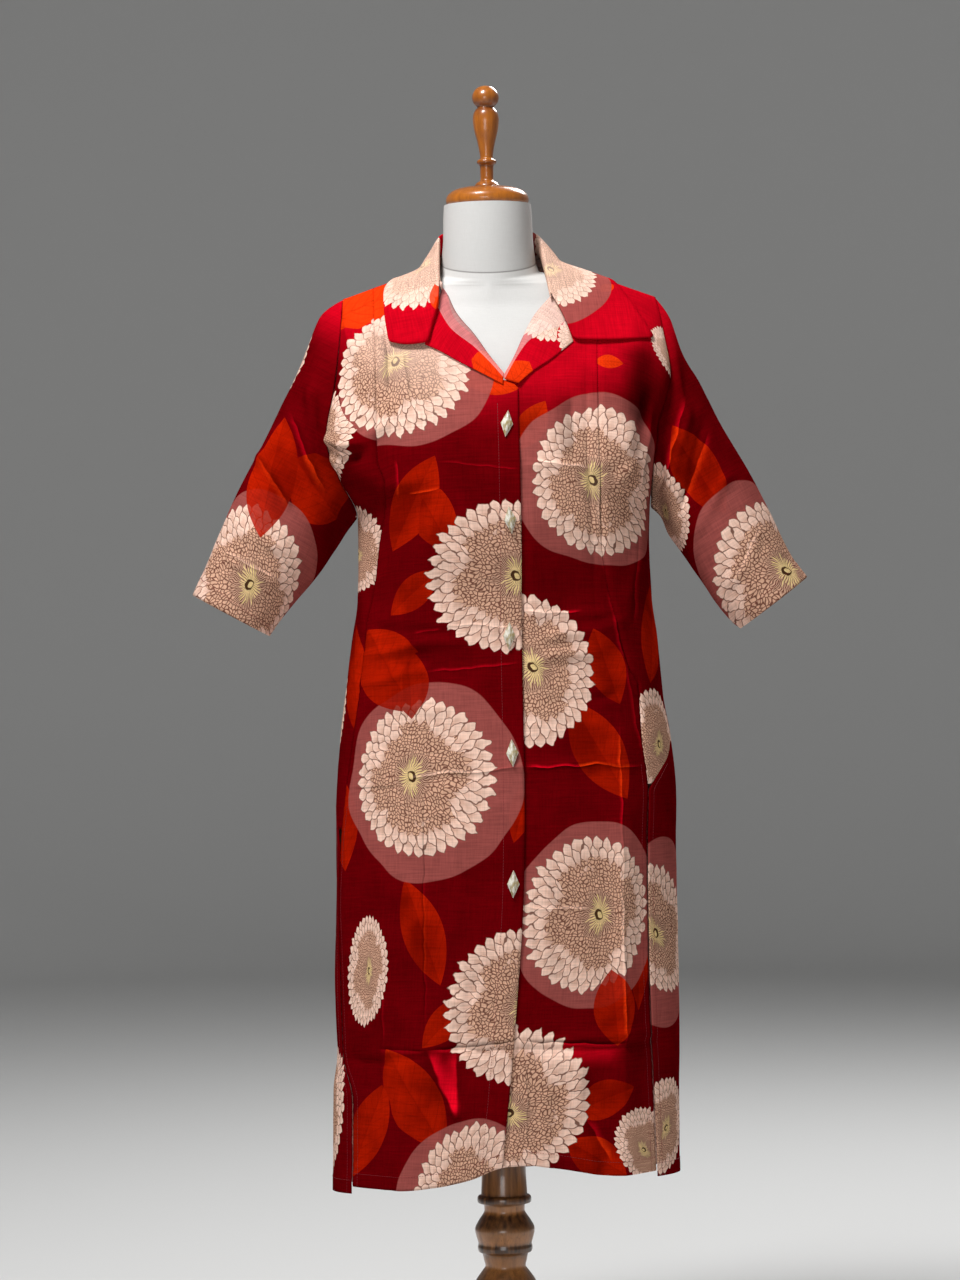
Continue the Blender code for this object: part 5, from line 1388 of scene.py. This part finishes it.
def heart_drawing(make, colour, angle, reach, ray):
    """Paints the pale rays of the heart and its dark eye over a colour."""
    middle, number = ray(RAYS, RAY_WOBBLE)
    chance = make.out("ShaderNodeTexWhiteNoise", "Value", {"W": number}, noise_dimensions="1D")
    end = chance * RAY_UNEVEN + RAY_LENGTH
    left = make.math("DIVIDE", end - reach, end, clamp=True)
    inside = left * RAY_TAPER + RAY_TIP - middle
    rays = make.step(inside, 0.0, 0.10) * make.step(left, 0.0, 0.12)
    colour = make.mix(rays * 0.92, colour, TONES["heart"])
    thick = make.math("COSINE", angle) * EYE_UNEVEN + EYE_THICK
    from_rim = thick - abs(reach - EYE_RADIUS)
    return make.mix(make.step(from_rim, -0.004, 0.006), colour, TONES["eye"])


@functools.lru_cache(maxsize=None)
def flower_group():
    """The drawing of one flower: colour and cover from coordinates that are 1 at its edge."""
    tree = bpy.data.node_groups.new("flower", "ShaderNodeTree")
    for name, way, kind in (("Local", "INPUT", "Vector"), ("Colour", "OUTPUT", "Color"),
                            ("Cover", "OUTPUT", "Float")):
        tree.interface.new_socket(name, in_out=way, socket_type="NodeSocket" + kind)
    make = Maker(tree)
    entry, leave = make.out("NodeGroupInput", 0), make.node("NodeGroupOutput")
    shift = make.math("SUBTRACT", 1.0, make.vector("LENGTH", entry), clamp=True) * HEART_SHIFT
    aside = make.out("ShaderNodeCombineXYZ", 0, {0: shift})
    warp = make.vector("SUBTRACT", make.noise(entry, WARP_SCALE, 2.0, True), NOISE_MIDDLE)
    warp = make.vector("MULTIPLY", warp, (WARP, WARP, 0.0))
    local = make.vector("ADD", make.vector("ADD", entry, aside), warp)
    across, up, _ = make.parts(local)
    angle = make.math("ARCTAN2", up, across)
    reach = make.vector("LENGTH", local)

    def ray(count, wobble):
        """Distance from the middle of the ray that a place is in, 0.5 at its side."""
        turns = angle * (count / (2 * math.pi)) + 100.0 + make.noise(local, 12.0, 1.0) * wobble
        return abs(make.math("FRACT", turns) - 0.5), make.math("FLOOR", turns)

    scales, ring = scale_drawing(make, angle * (PETALS / (2 * math.pi)), reach)
    from_middle, _ = ray(FLORETS, FLORET_WOBBLE)
    florets = make.mix(make.step(from_middle, *FLORET_LINE), TONES["floret"], TONES["outline"])
    ragged = reach + (make.noise(local, 16.0, 2.0) - 0.5) * FLORET_RAGGED
    colour = make.mix(make.step(ragged, *FLORET_ENDS), florets, pebble_drawing(make, local))
    fewer = make.math("GREATER_THAN", make.noise(local, 1.7, 0.0), FEWER_PEBBLES)
    outside = make.math("GREATER_THAN", ring, PEBBLE_ROW + 0.5 - fewer)
    colour = make.mix(outside, colour, scales)
    make.feed(leave.inputs[0], heart_drawing(make, colour, angle, reach, ray))
    make.feed(leave.inputs[1], make.math("LESS_THAN", ring, LAST_ROW + 0.5))
    return tree


def painted_light_zone(make):
    """Painted light: 1 from the bust up, where the cloth lies on the white canvas and is painted
    as lit from above, and 0 where it hangs free below.
    """
    x, _, z = make.parts(make.object_place())
    aside = x - PAINTED_LIGHT_MIDDLE
    return make.step(z - aside * aside * PAINTED_LIGHT_SLOPE, PAINTED_LIGHT_FROM, PAINTED_LIGHT_TO)


def fold_light(make, folds):
    """Painted highlights and painted shade of pressed folds: how much they lighten a place, less
    than 0 where they darken it.
    """
    x, _, z = make.parts(make.object_place())
    flat = make.out("ShaderNodeCombineXYZ", 0, {0: x, 1: z})
    waver = make.vector("SUBTRACT", make.noise(flat, WAVER_SCALE, 2.0, True), NOISE_MIDDLE)
    place = make.vector("ADD", flat, make.vector("SCALE", waver, scale=WAVER))
    total = 0.0
    for fold in folds:
        dx, dz = fold["x1"] - fold["x0"], fold["z1"] - fold["z0"]
        local = make.fitted(place, (fold["x0"], fold["z0"]), math.atan2(dz, dx),
                            (math.hypot(dx, dz), fold["wide"]))
        along, across, _ = make.parts(local)
        ends = make.step(abs(make.math("MULTIPLY_ADD", along, 2.0, -1.0)), 1.05, 0.60)
        near = make.step(abs(across), 1.0, 0.0)
        side = make.mix(make.step(across, -0.10, 0.10), fold["right"], fold["left"], "FLOAT")
        total = total + ends * near * side
    return total


def leaf_paint(make, place, leaves, colour, tint, painted_light):
    """Paints leaves over a colour, lighter where light is painted on the cloth."""
    if not leaves:
        return colour
    along, side, _ = make.parts(nearest_motif(make, place, leaves, own=False)[0])
    across = abs(side)
    cover = 1.0 - make.step(along * along + across, *MOTIF_EDGE)
    vein = make.math("FRACT", along * VEINS - across * VEIN_SLOPE + 50.0)
    vein = 1.0 - make.step(abs(vein - 0.5), *VEIN_LINE)
    rib = 1.0 - make.step(across, *RIB_LINE)
    half = make.math("GREATER_THAN", side, 0.0) * LEAF_HALF
    depth = make.math("ADD", half, tint * LEAF_TINT, clamp=True)
    painted = make.mix(depth, TONES["leaf"], TONES["leaf_dark"])
    # painted light: leaves lighter where light from above is painted
    painted = make.mix(painted_light, painted, TONES["leaf_lit"])
    painted = make.mix(make.math("MAXIMUM", vein, rib) * VEIN_INK, painted, TONES["leaf_dark"])
    return make.mix(cover * 0.94, colour, painted)


def print_colour(make, node, place):
    """The printed colour of a piece of cloth at a place given by its U and V, with painted light
    and painted shade over it.
    """
    flowers, halos = (records("u v wide tall turn", motifs[node]) for motifs in (FLOWERS, HALOS))
    leaves = records("u v wide tall turn over", LEAVES[node])
    folds = records("x0 z0 x1 z1 left right wide", PAINTED_FOLD_LIGHT.get(node, ()))
    tint = make.step(make.noise(place, TINT_SCALE, 2.0), *TINT_SHARE)
    fold = fold_light(make, folds)
    # painted light: the lit zone from the bust up and the painted highlights of the folds brighten
    # the ground
    painted_light = make.math("MAXIMUM", painted_light_zone(make), fold)
    ground = make.mix(painted_light, TONES["ground"], TONES["ground_lit"])
    ground = make.vector("SCALE", ground, scale=1.0 - tint * GROUND_TINT)
    below, above = ([leaf for leaf in leaves if leaf["over"] == over] for over in (0, 1))
    colour = leaf_paint(make, place, below, ground, tint, painted_light)
    if halos:
        best = nearest_motif(make, place, halos, own=False)[1]
        wobble = (make.noise(place, 11.0, 1.0) - 0.5) * HALO_RAGGED
        cover = 1.0 - make.step(best + wobble, *MOTIF_EDGE)
        colour = make.mix(cover * 0.88, colour, TONES["halo"])
    if flowers:
        local = nearest_motif(make, place, flowers)[0]
        drawing = make.node("ShaderNodeGroup")
        drawing.node_tree = flower_group()
        make.feed(drawing.inputs[0], local)
        drawn, cover = (Value(make, socket) for socket in drawing.outputs)
        # painted light: the flowers turn paler where the cloth is painted as lit
        flower_light = make.math("MULTIPLY", painted_light, PAINTED_LIGHT_WASH, clamp=True)
        colour = make.mix(cover, colour, make.mix(flower_light, drawn, TONES["petal"]))
    colour = leaf_paint(make, place, above, colour, tint, painted_light)
    if not folds:
        return colour
    # painted highlights and painted shade of the pressed folds
    lighter = make.math("MULTIPLY_ADD", make.math("MAXIMUM", fold, 0.0), FOLD_LIGHTER, 1.0)
    darker = make.math("MULTIPLY_ADD", make.math("MINIMUM", fold, 0.0), FOLD_DARKER, 1.0)
    return make.vector("SCALE", colour, scale=lighter * darker)


@functools.lru_cache(maxsize=None)
def cloth_material(title, node, pale):
    """Slub cotton with the print of one piece and its painted light and shade, paler on its
    reverse.
    """
    make = Finish(title + node, TONES["cotton"], 0.66, 0.0)
    place = make.out("ShaderNodeUVMap", 0, uv_map="cloth")
    colour = make.mix(pale, print_colour(make, node, place), TONES["cotton"])

    def threads(weft, warp):
        """Uneven threads both ways, as noise stretched along each."""
        return make.streaks(place, weft, 2.0) * 0.6 + make.streaks(place, warp, 2.0) * 0.4

    slub, broad = threads(*SLUB), threads(*BROAD_SLUB)
    worn = make.noise(place, 60.0, 3.0)
    tone = slub * SLUB_TONE + worn * WORN_TONE + broad * BROAD_TONE + LEAST_TONE
    make.set("Base Color", make.vector("SCALE", colour, scale=tone))
    make.bump(slub + worn * 1.5, 0.35, 0.0004)
    return make.material


# ---------------------------------------------------------------- other finishes
def canvas_finish():
    """Taut off-white canvas with a fine weave, faint soiling, painted shade on the neck and the
    seam round the neck.
    """
    make = Finish("canvas", CANVAS_PALE, 0.85, 0.2)
    place = make.object_place()
    warp, weft = (make.streaks(place, scale, 1.0) for scale in (CANVAS_WARP, CANVAS_WEFT))
    weave = warp * 0.5 + weft * 0.5
    tone = weave * WEAVE_TONE + make.noise(place, 9.0, 4.0) * SOILED_TONE
    colour = make.mix(tone, CANVAS_PALE, CANVAS_SOILED)
    _, y, z = make.parts(place)
    from_seam = z - y * NECK_TILT - FORM_TOP
    # painted shade on the neck above the seam
    shaded_neck = make.step(from_seam, -NECK_STEP, NECK_STEP)
    colour = make.mix(shaded_neck, colour, make.vector("SCALE", colour, scale=NECK_SHADE))
    seam = 1.0 - make.step(abs(from_seam), *NECK_SEAM_LINE)
    make.set("Base Color", make.mix(seam * NECK_SEAM_INK, colour, NECK_SEAM_TONE))
    make.bump(weave, 0.35, 0.0004)
    return make.material


def wood_finish(title, dark, light, tones, along="z"):
    """Varnished turned wood: grain along one axis, and bands where the turning cuts across it."""
    make = Finish(title, light, 0.30, 0.5, 0.5)
    place = make.object_place()

    def fibres(thin, long, detail):
        return make.streaks(place, tuple(long if axis == along else thin for axis in "xyz"),
                            detail)

    grain, pores = fibres(*GRAIN), fibres(*PORES)
    wavy = make.parts(place)[2] + (grain - 0.5) * BAND_WAVER
    low, high = tones[0][0] / 1000, tones[-1][0] / 1000
    ramp = make.node("ShaderNodeValToRGB")
    make.feed(ramp.inputs[0], (wavy - low) / (high - low))
    ends = ramp.color_ramp.elements
    for k, (height, tone) in enumerate(tones):
        stop = (height / 1000 - low) / (high - low)
        element = ends[k] if k < 2 else ends.new(stop)
        element.position = stop
        element.color = (tone, tone, tone, 1.0)
    bands = Value(make, ramp.outputs[0])
    tone = make.math("ADD", bands, (grain - 0.5) * GRAIN_TONE, clamp=True)
    in_pore = make.step(pores, *PORE_SHARE) * PORE_TONE
    make.set("Base Color", make.mix(in_pore, make.mix(tone, dark, light), dark))
    make.bump(grain, 0.12, 0.0003)
    return make.material


def pearl_finish():
    """Ivory with a pearly sheen and faint clouds."""
    make = Finish("pearl", PEARL_PALE, 0.16, 0.7, 0.6)
    cloud = make.streaks(make.object_place(), (300.0, 120.0, 140.0), 3.0)
    make.set("Base Color", make.mix(make.step(cloud, 0.36, 0.62), PEARL_PALE, PEARL_DARK))
    return make.material


def thread_finish():
    make = Finish("thread", THREAD_DARK, 0.6, 0.5)
    strand = make.noise(make.object_place(), 2500.0, 1.0)
    make.set("Base Color", make.mix(strand, THREAD_DARK, THREAD_LIGHT))
    return make.material


# ---------------------------------------------------------------- stitches and buttons
def stitch_line(points, normals):
    """Stitches along a line of points, each a small closed bar that is half sunk in the cloth."""
    run = running_length(points)
    bars = []
    for start in np.arange(STITCH_FROM, run[-1] - STITCH_LENGTH, STITCH_PITCH):
        ends = at_arc(points, run, (start, start + STITCH_LENGTH))
        normal = at_arc(normals, run, [start])[0]
        side = np.cross(ends[1] - ends[0], normal)
        side = side / np.linalg.norm(side) * STITCH_HALF
        lift = normal / np.linalg.norm(normal) * STITCH_HALF
        bars.append((ends, side, lift))
    return bars


def add_stitches(name, lines):
    """One mesh of all the stitches along the given lines."""
    vertices, faces = [], []
    for points, normals in lines:
        for ends, side, lift in stitch_line(points, normals):
            base = len(vertices)
            for end, inset in zip(ends, (1, -1)):
                tip = (ends[1] - ends[0]) * STITCH_TAPER * inset
                vertices += [end + side - lift, end + side * STITCH_TOP + lift + tip,
                             end - side * STITCH_TOP + lift + tip, end - side - lift]
            faces += [(base, base + 1, base + 2, base + 3),
                      (base + 7, base + 6, base + 5, base + 4)]
            faces += [(base + k, base + 4 + k, base + 4 + (k + 1) % 4, base + (k + 1) % 4)
                      for k in range(4)]
    made = add_mesh(name, vertices, faces, [THREAD], smooth=False)
    return made


def contour(grid, normals, field, level):
    """Points and normals of a grid, row by row, where a field passes a level."""
    points, directions = [], []
    for line, normal, values in zip(grid, normals, field):
        way = 1 if values[-1] > values[0] else -1
        column = np.interp(way * level, way * values, np.arange(len(values)))
        low = min(int(column), len(values) - 2)
        share = column - low
        points.append(line[low] * (1 - share) + line[low + 1] * share)
        directions.append(normal[low])
    return np.array(points), np.array(directions)


def hem_line(panel, from_hem):
    """The stitching across a panel at the depth of its turned hem."""
    return contour(*(np.swapaxes(grid, 0, 1) for grid in (panel.grid, panel.normals, from_hem)),
                   HEM_DEPTH - HEM_STITCH)


def slit_line(panel, side, edge):
    """The stitching of the turned edge beside an open slit."""
    rows = int(np.searchsorted(ROWS, SLIT_TOP[side])) - 2
    from_edge = np.abs(panel.across - panel.across[:, edge][:, None])[:rows]
    half = slice(None, SLIT_COLUMNS) if edge == 0 else slice(-SLIT_COLUMNS, None)
    return contour(panel.grid[:rows, half], panel.normals[:rows, half], from_edge[:, half],
                   SLIT_HEM)


def build_stitching(fronts, back, sleeves):
    """The seam lines that show: the band, the hems, the cuffs and the slits' edges."""
    band = fronts["right"]
    shown = int(np.searchsorted(ROWS, BAND_TOP))
    add_stitches("stitches_band", [contour(band.grid[:shown], band.normals[:shown],
                                           band.across[:shown], BAND_STITCH)])
    for side, panel in fronts.items():
        add_stitches("stitches_front_" + side, [hem_line(panel, panel.up - panel.up[:1]),
                                                slit_line(panel, side, -1)])
    add_stitches("stitches_back", [hem_line(back, back.up - back.up[:1]),
                                   slit_line(back, "right", 0), slit_line(back, "left", -1)])
    for side, panel in sleeves.items():
        add_stitches("stitches_cuff_" + side, [hem_line(panel, panel.up)])


def surface_y(grid, x, z):
    """y of the grid's point that is nearest to a place seen from the front."""
    flat = grid.reshape(-1, 3)
    return float(flat[np.argmin((flat[:, 0] - x) ** 2 + (flat[:, 2] - z) ** 2), 1])


def diamond(name):
    """A long diamond cut in facets, with a raised ridge."""
    half_wide, half_deep, half_tall = (side / 2 for side in BUTTON_SIZE)
    outline = ((0.0, -half_tall), (half_wide, 0.0), (0.0, half_tall), (-half_wide, 0.0))
    shape = bmesh.new()
    rings = [[shape.verts.new((px * wide, depth * half_deep, pz * tall)) for px, pz in outline]
             for wide, depth, tall in BUTTON_LEVELS]
    shape.faces.new(rings[0])
    shape.faces.new(rings[-1][::-1])
    for low, high in zip(rings[1:], rings):
        for k in range(4):
            shape.faces.new((low[k], low[(k + 1) % 4], high[(k + 1) % 4], high[k]))
    bmesh.ops.recalc_face_normals(shape, faces=shape.faces)
    mesh = bpy.data.meshes.new(name)
    shape.to_mesh(mesh)
    shape.free()
    mesh.materials.append(PEARL)
    return mesh


def build_button(number, z, x, tilt, front):
    """A diamond with worn edges, laid on the slope of the band."""
    name = "diamond_%d" % number
    made = add_object(name, diamond(name))
    edge = made.modifiers.new("edge", "BEVEL")
    edge.width = BUTTON_BEVEL
    edge.segments = 2
    edge.limit_method = "ANGLE"
    edge.angle_limit = math.radians(12)
    tall = BUTTON_SIZE[2]
    below, middle, above = (surface_y(front, x, z + tall * up) for up in (-0.5, 0.0, 0.5))
    y = min(middle, (below + above) / 2)
    made.location = (x, y - (BUTTON_SIZE[1] + BUTTON_LIFT) / 2, z)
    made.rotation_euler = (math.atan2(below - above, tall), math.radians(tilt), 0.0)
    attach(made, "root")
    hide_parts("button_%d" % number)


# ---------------------------------------------------------------- form and stand
def add_loft(name, rings, node):
    """A closed canvas shape through rings of points, with ends on points of their own."""
    count, rows = len(rings[0]), len(rings)
    faces = ring_faces(rows, count)
    faces.append(tuple(range(rows * count, (rows + 1) * count))[::-1])
    faces.append(tuple(range((rows + 1) * count, (rows + 2) * count)))
    made = add_mesh(name, [point for ring in (*rings, rings[0], rings[-1]) for point in ring],
                    faces, [CANVAS])
    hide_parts(node)


def build_form():
    """The canvas torso and neck in finer rings than their solids."""
    angles = np.linspace(0.0, 2 * math.pi, FORM_SIDES, endpoint=False)
    heights = FORM_TABLE["h"]
    levels = [a + (b - a) * share for a, b in zip(heights, heights[1:])
              for share in (0.0, 0.25, 0.5, 0.75)] + [heights[-1]]
    rings = []
    for h in levels:
        half, front, back, tilt, power, x = (
            float(np.interp(h, heights, FORM_TABLE[name]))
            for name in ("half", "y_front", "y_back", "tilt", "power", "x"))
        ring = []
        for a in angles:
            across = math.copysign(abs(math.cos(a)) ** (2 / power), math.cos(a))
            y = abs(math.sin(a)) ** (2 / power) * (front if math.sin(a) < 0 else back)
            ring.append((x + half * across, y, h + tilt * y))
        rings.append(ring)
    add_loft("canvas_torso", rings, "form_torso")
    neck = []
    for radius, depth, z, share in NECK_RINGS:
        tilt = NECK_TILT * share
        neck.append([(NECK_AXIS + radius * math.cos(a), depth * math.sin(a),
                      z + tilt * depth * math.sin(a)) for a in angles])
    add_loft("canvas_neck", neck, "form_neck")


def smooth_profile(profile, steps_between=5):
    """A turned profile with its curves rounded and its ends kept."""
    points = np.array(profile) / 1000
    padded = np.concatenate((points[:1], points, points[-1:]))
    made = []
    for k in range(1, len(padded) - 2):
        before, first, last, after = padded[k - 1:k + 3]
        sharp = np.linalg.norm(last - first) > SHARP_STEP or min(first[0], last[0]) == 0.0
        slopes = (last - before) / 2, (after - first) / 2
        limit = SLOPE_LIMIT * np.linalg.norm(last - first)
        leave, arrive = (last - first if sharp else
                         slope * min(1.0, limit / max(np.linalg.norm(slope), 1e-9))
                         for slope in slopes)
        for t in np.linspace(0.0, 1.0, 1 if sharp else steps_between, endpoint=False):
            made.append((2 * t ** 3 - 3 * t ** 2 + 1) * first + (t ** 3 - 2 * t ** 2 + t) * leave
                        + (3 * t ** 2 - 2 * t ** 3) * last + (t ** 3 - t ** 2) * arrive)
    return [(max(float(r), 0.0), float(z)) for r, z in made + [points[-1]]]


def add_turned(name, profile, finish, node, x=0.0, sides=TURNED_SIDES):
    """A turned piece: its profile, top to bottom, round the axis at x."""
    mesh = bpy.data.meshes.new(name)
    rounded = smooth_profile(profile)
    mesh.from_pydata([(radius, 0.0, z) for radius, z in rounded],
                     [(k, k + 1) for k in range(len(rounded) - 1)], [])
    mesh.materials.append(finish)
    made = add_object(name, mesh)
    made.location.x = x
    turn = made.modifiers.new("turn", "SCREW")
    turn.steps = turn.render_steps = sides
    turn.use_merge_vertices = True
    turn.merge_threshold = MERGED
    turn.use_smooth_shade = True
    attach(made, "root")
    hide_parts(node)


def build_stand():
    add_turned("turned_cap", CAP_PROFILE, WOOD, "neck_cap", NECK_AXIS)
    add_turned("turned_finial", FINIAL_PROFILE, WOOD, "finial", NECK_AXIS)
    add_turned("turned_pole", POLE_PROFILE, DARK_WOOD, "pole")
    add_turned("turned_base", BASE_PROFILE, BASE_WOOD, "stand_base",
               sides=BASE_SIDES)


# ---------------------------------------------------------------- stage
def build_floor():
    """A plain pale floor that rises in a round sweep."""
    profile = [(FLOOR_INNER, 0.0), (FLOOR_RADIUS, 0.0)] + [
        (FLOOR_RADIUS + COVE_RADIUS * math.sin(a), COVE_RADIUS * (1 - math.cos(a)))
        for a in np.linspace(0.1, math.pi / 2, 16)] + [(FLOOR_RADIUS + COVE_RADIUS, WALL_TOP)]
    count = FLOOR_SIDES
    angles = np.linspace(0.0, 2 * math.pi, count, endpoint=False)
    vertices = [(radius * math.cos(a), radius * math.sin(a), z)
                for radius, z in profile for a in angles]
    faces = [face[::-1] for face in ring_faces(len(profile), count)]
    middle = len(vertices)
    faces += [(middle, i, (i + 1) % count) for i in range(count)]
    mesh = bpy.data.meshes.new("floor")
    mesh.from_pydata(vertices + [(0.0, 0.0, 0.0)], [], faces)
    mesh.materials.append(Finish("floor", FLOOR_TONE, 0.9, 0.1).material)
    mesh.shade_smooth()
    add_object("floor", mesh)


def build_stage():
    """The floor, soft lights and the camera."""
    build_floor()
    for name, place, aim, size, power, spread in LIGHTS:
        lamp = bpy.data.lights.new(name, "AREA")
        lamp.energy, lamp.size, lamp.spread = power, size, math.radians(spread)
        lit = add_object(name, lamp)
        lit.location = place
        lit.rotation_euler = (Vector(aim) - Vector(place)).to_track_quat("-Z", "Y").to_euler()
    world = bpy.data.worlds.new("studio")
    world.use_nodes = True
    background = world.node_tree.nodes["Background"]
    background.inputs["Color"].default_value = (1.0, 1.0, 1.0, 1.0)
    background.inputs["Strength"].default_value = WORLD_LIGHT
    lens = bpy.data.cameras.new("camera")
    lens.sensor_width, lens.lens = 36.0, CAMERA_LENS
    camera = add_object("camera", lens)
    camera.location = CAMERA_PLACE
    camera.rotation_euler = (math.pi / 2, CAMERA_ROLL, 0.0)
    scene = bpy.context.scene
    scene.world, scene.camera = world, camera
    scene.view_settings.view_transform = "Standard"


# ---------------------------------------------------------------- the whole
TORSO = torso_tree()
CANVAS = canvas_finish()
WOOD = wood_finish("wood", *WOOD_TONES, CAP_BANDS)
DARK_WOOD = wood_finish("dark_wood", *DARK_WOOD_TONES, POLE_BANDS)
BASE_WOOD = wood_finish("base_wood", *DARK_WOOD_TONES, POLE_BANDS, along="x")
PEARL = pearl_finish()
THREAD = thread_finish()

build_stage()
build_form()
build_stand()
fronts = {side: build_front(side) for side in SIDES}
for side in SIDES:
    build_side_front(side)
    build_lapel(side)
back = build_back()
sleeves = {side: build_sleeve(side) for side in SIDES}
build_collar()
build_stitching(fronts, back, sleeves)
for number, (z, x, tilt) in enumerate(BUTTONS, start=1):
    build_button(number, z, x, tilt, fronts["right"].grid)
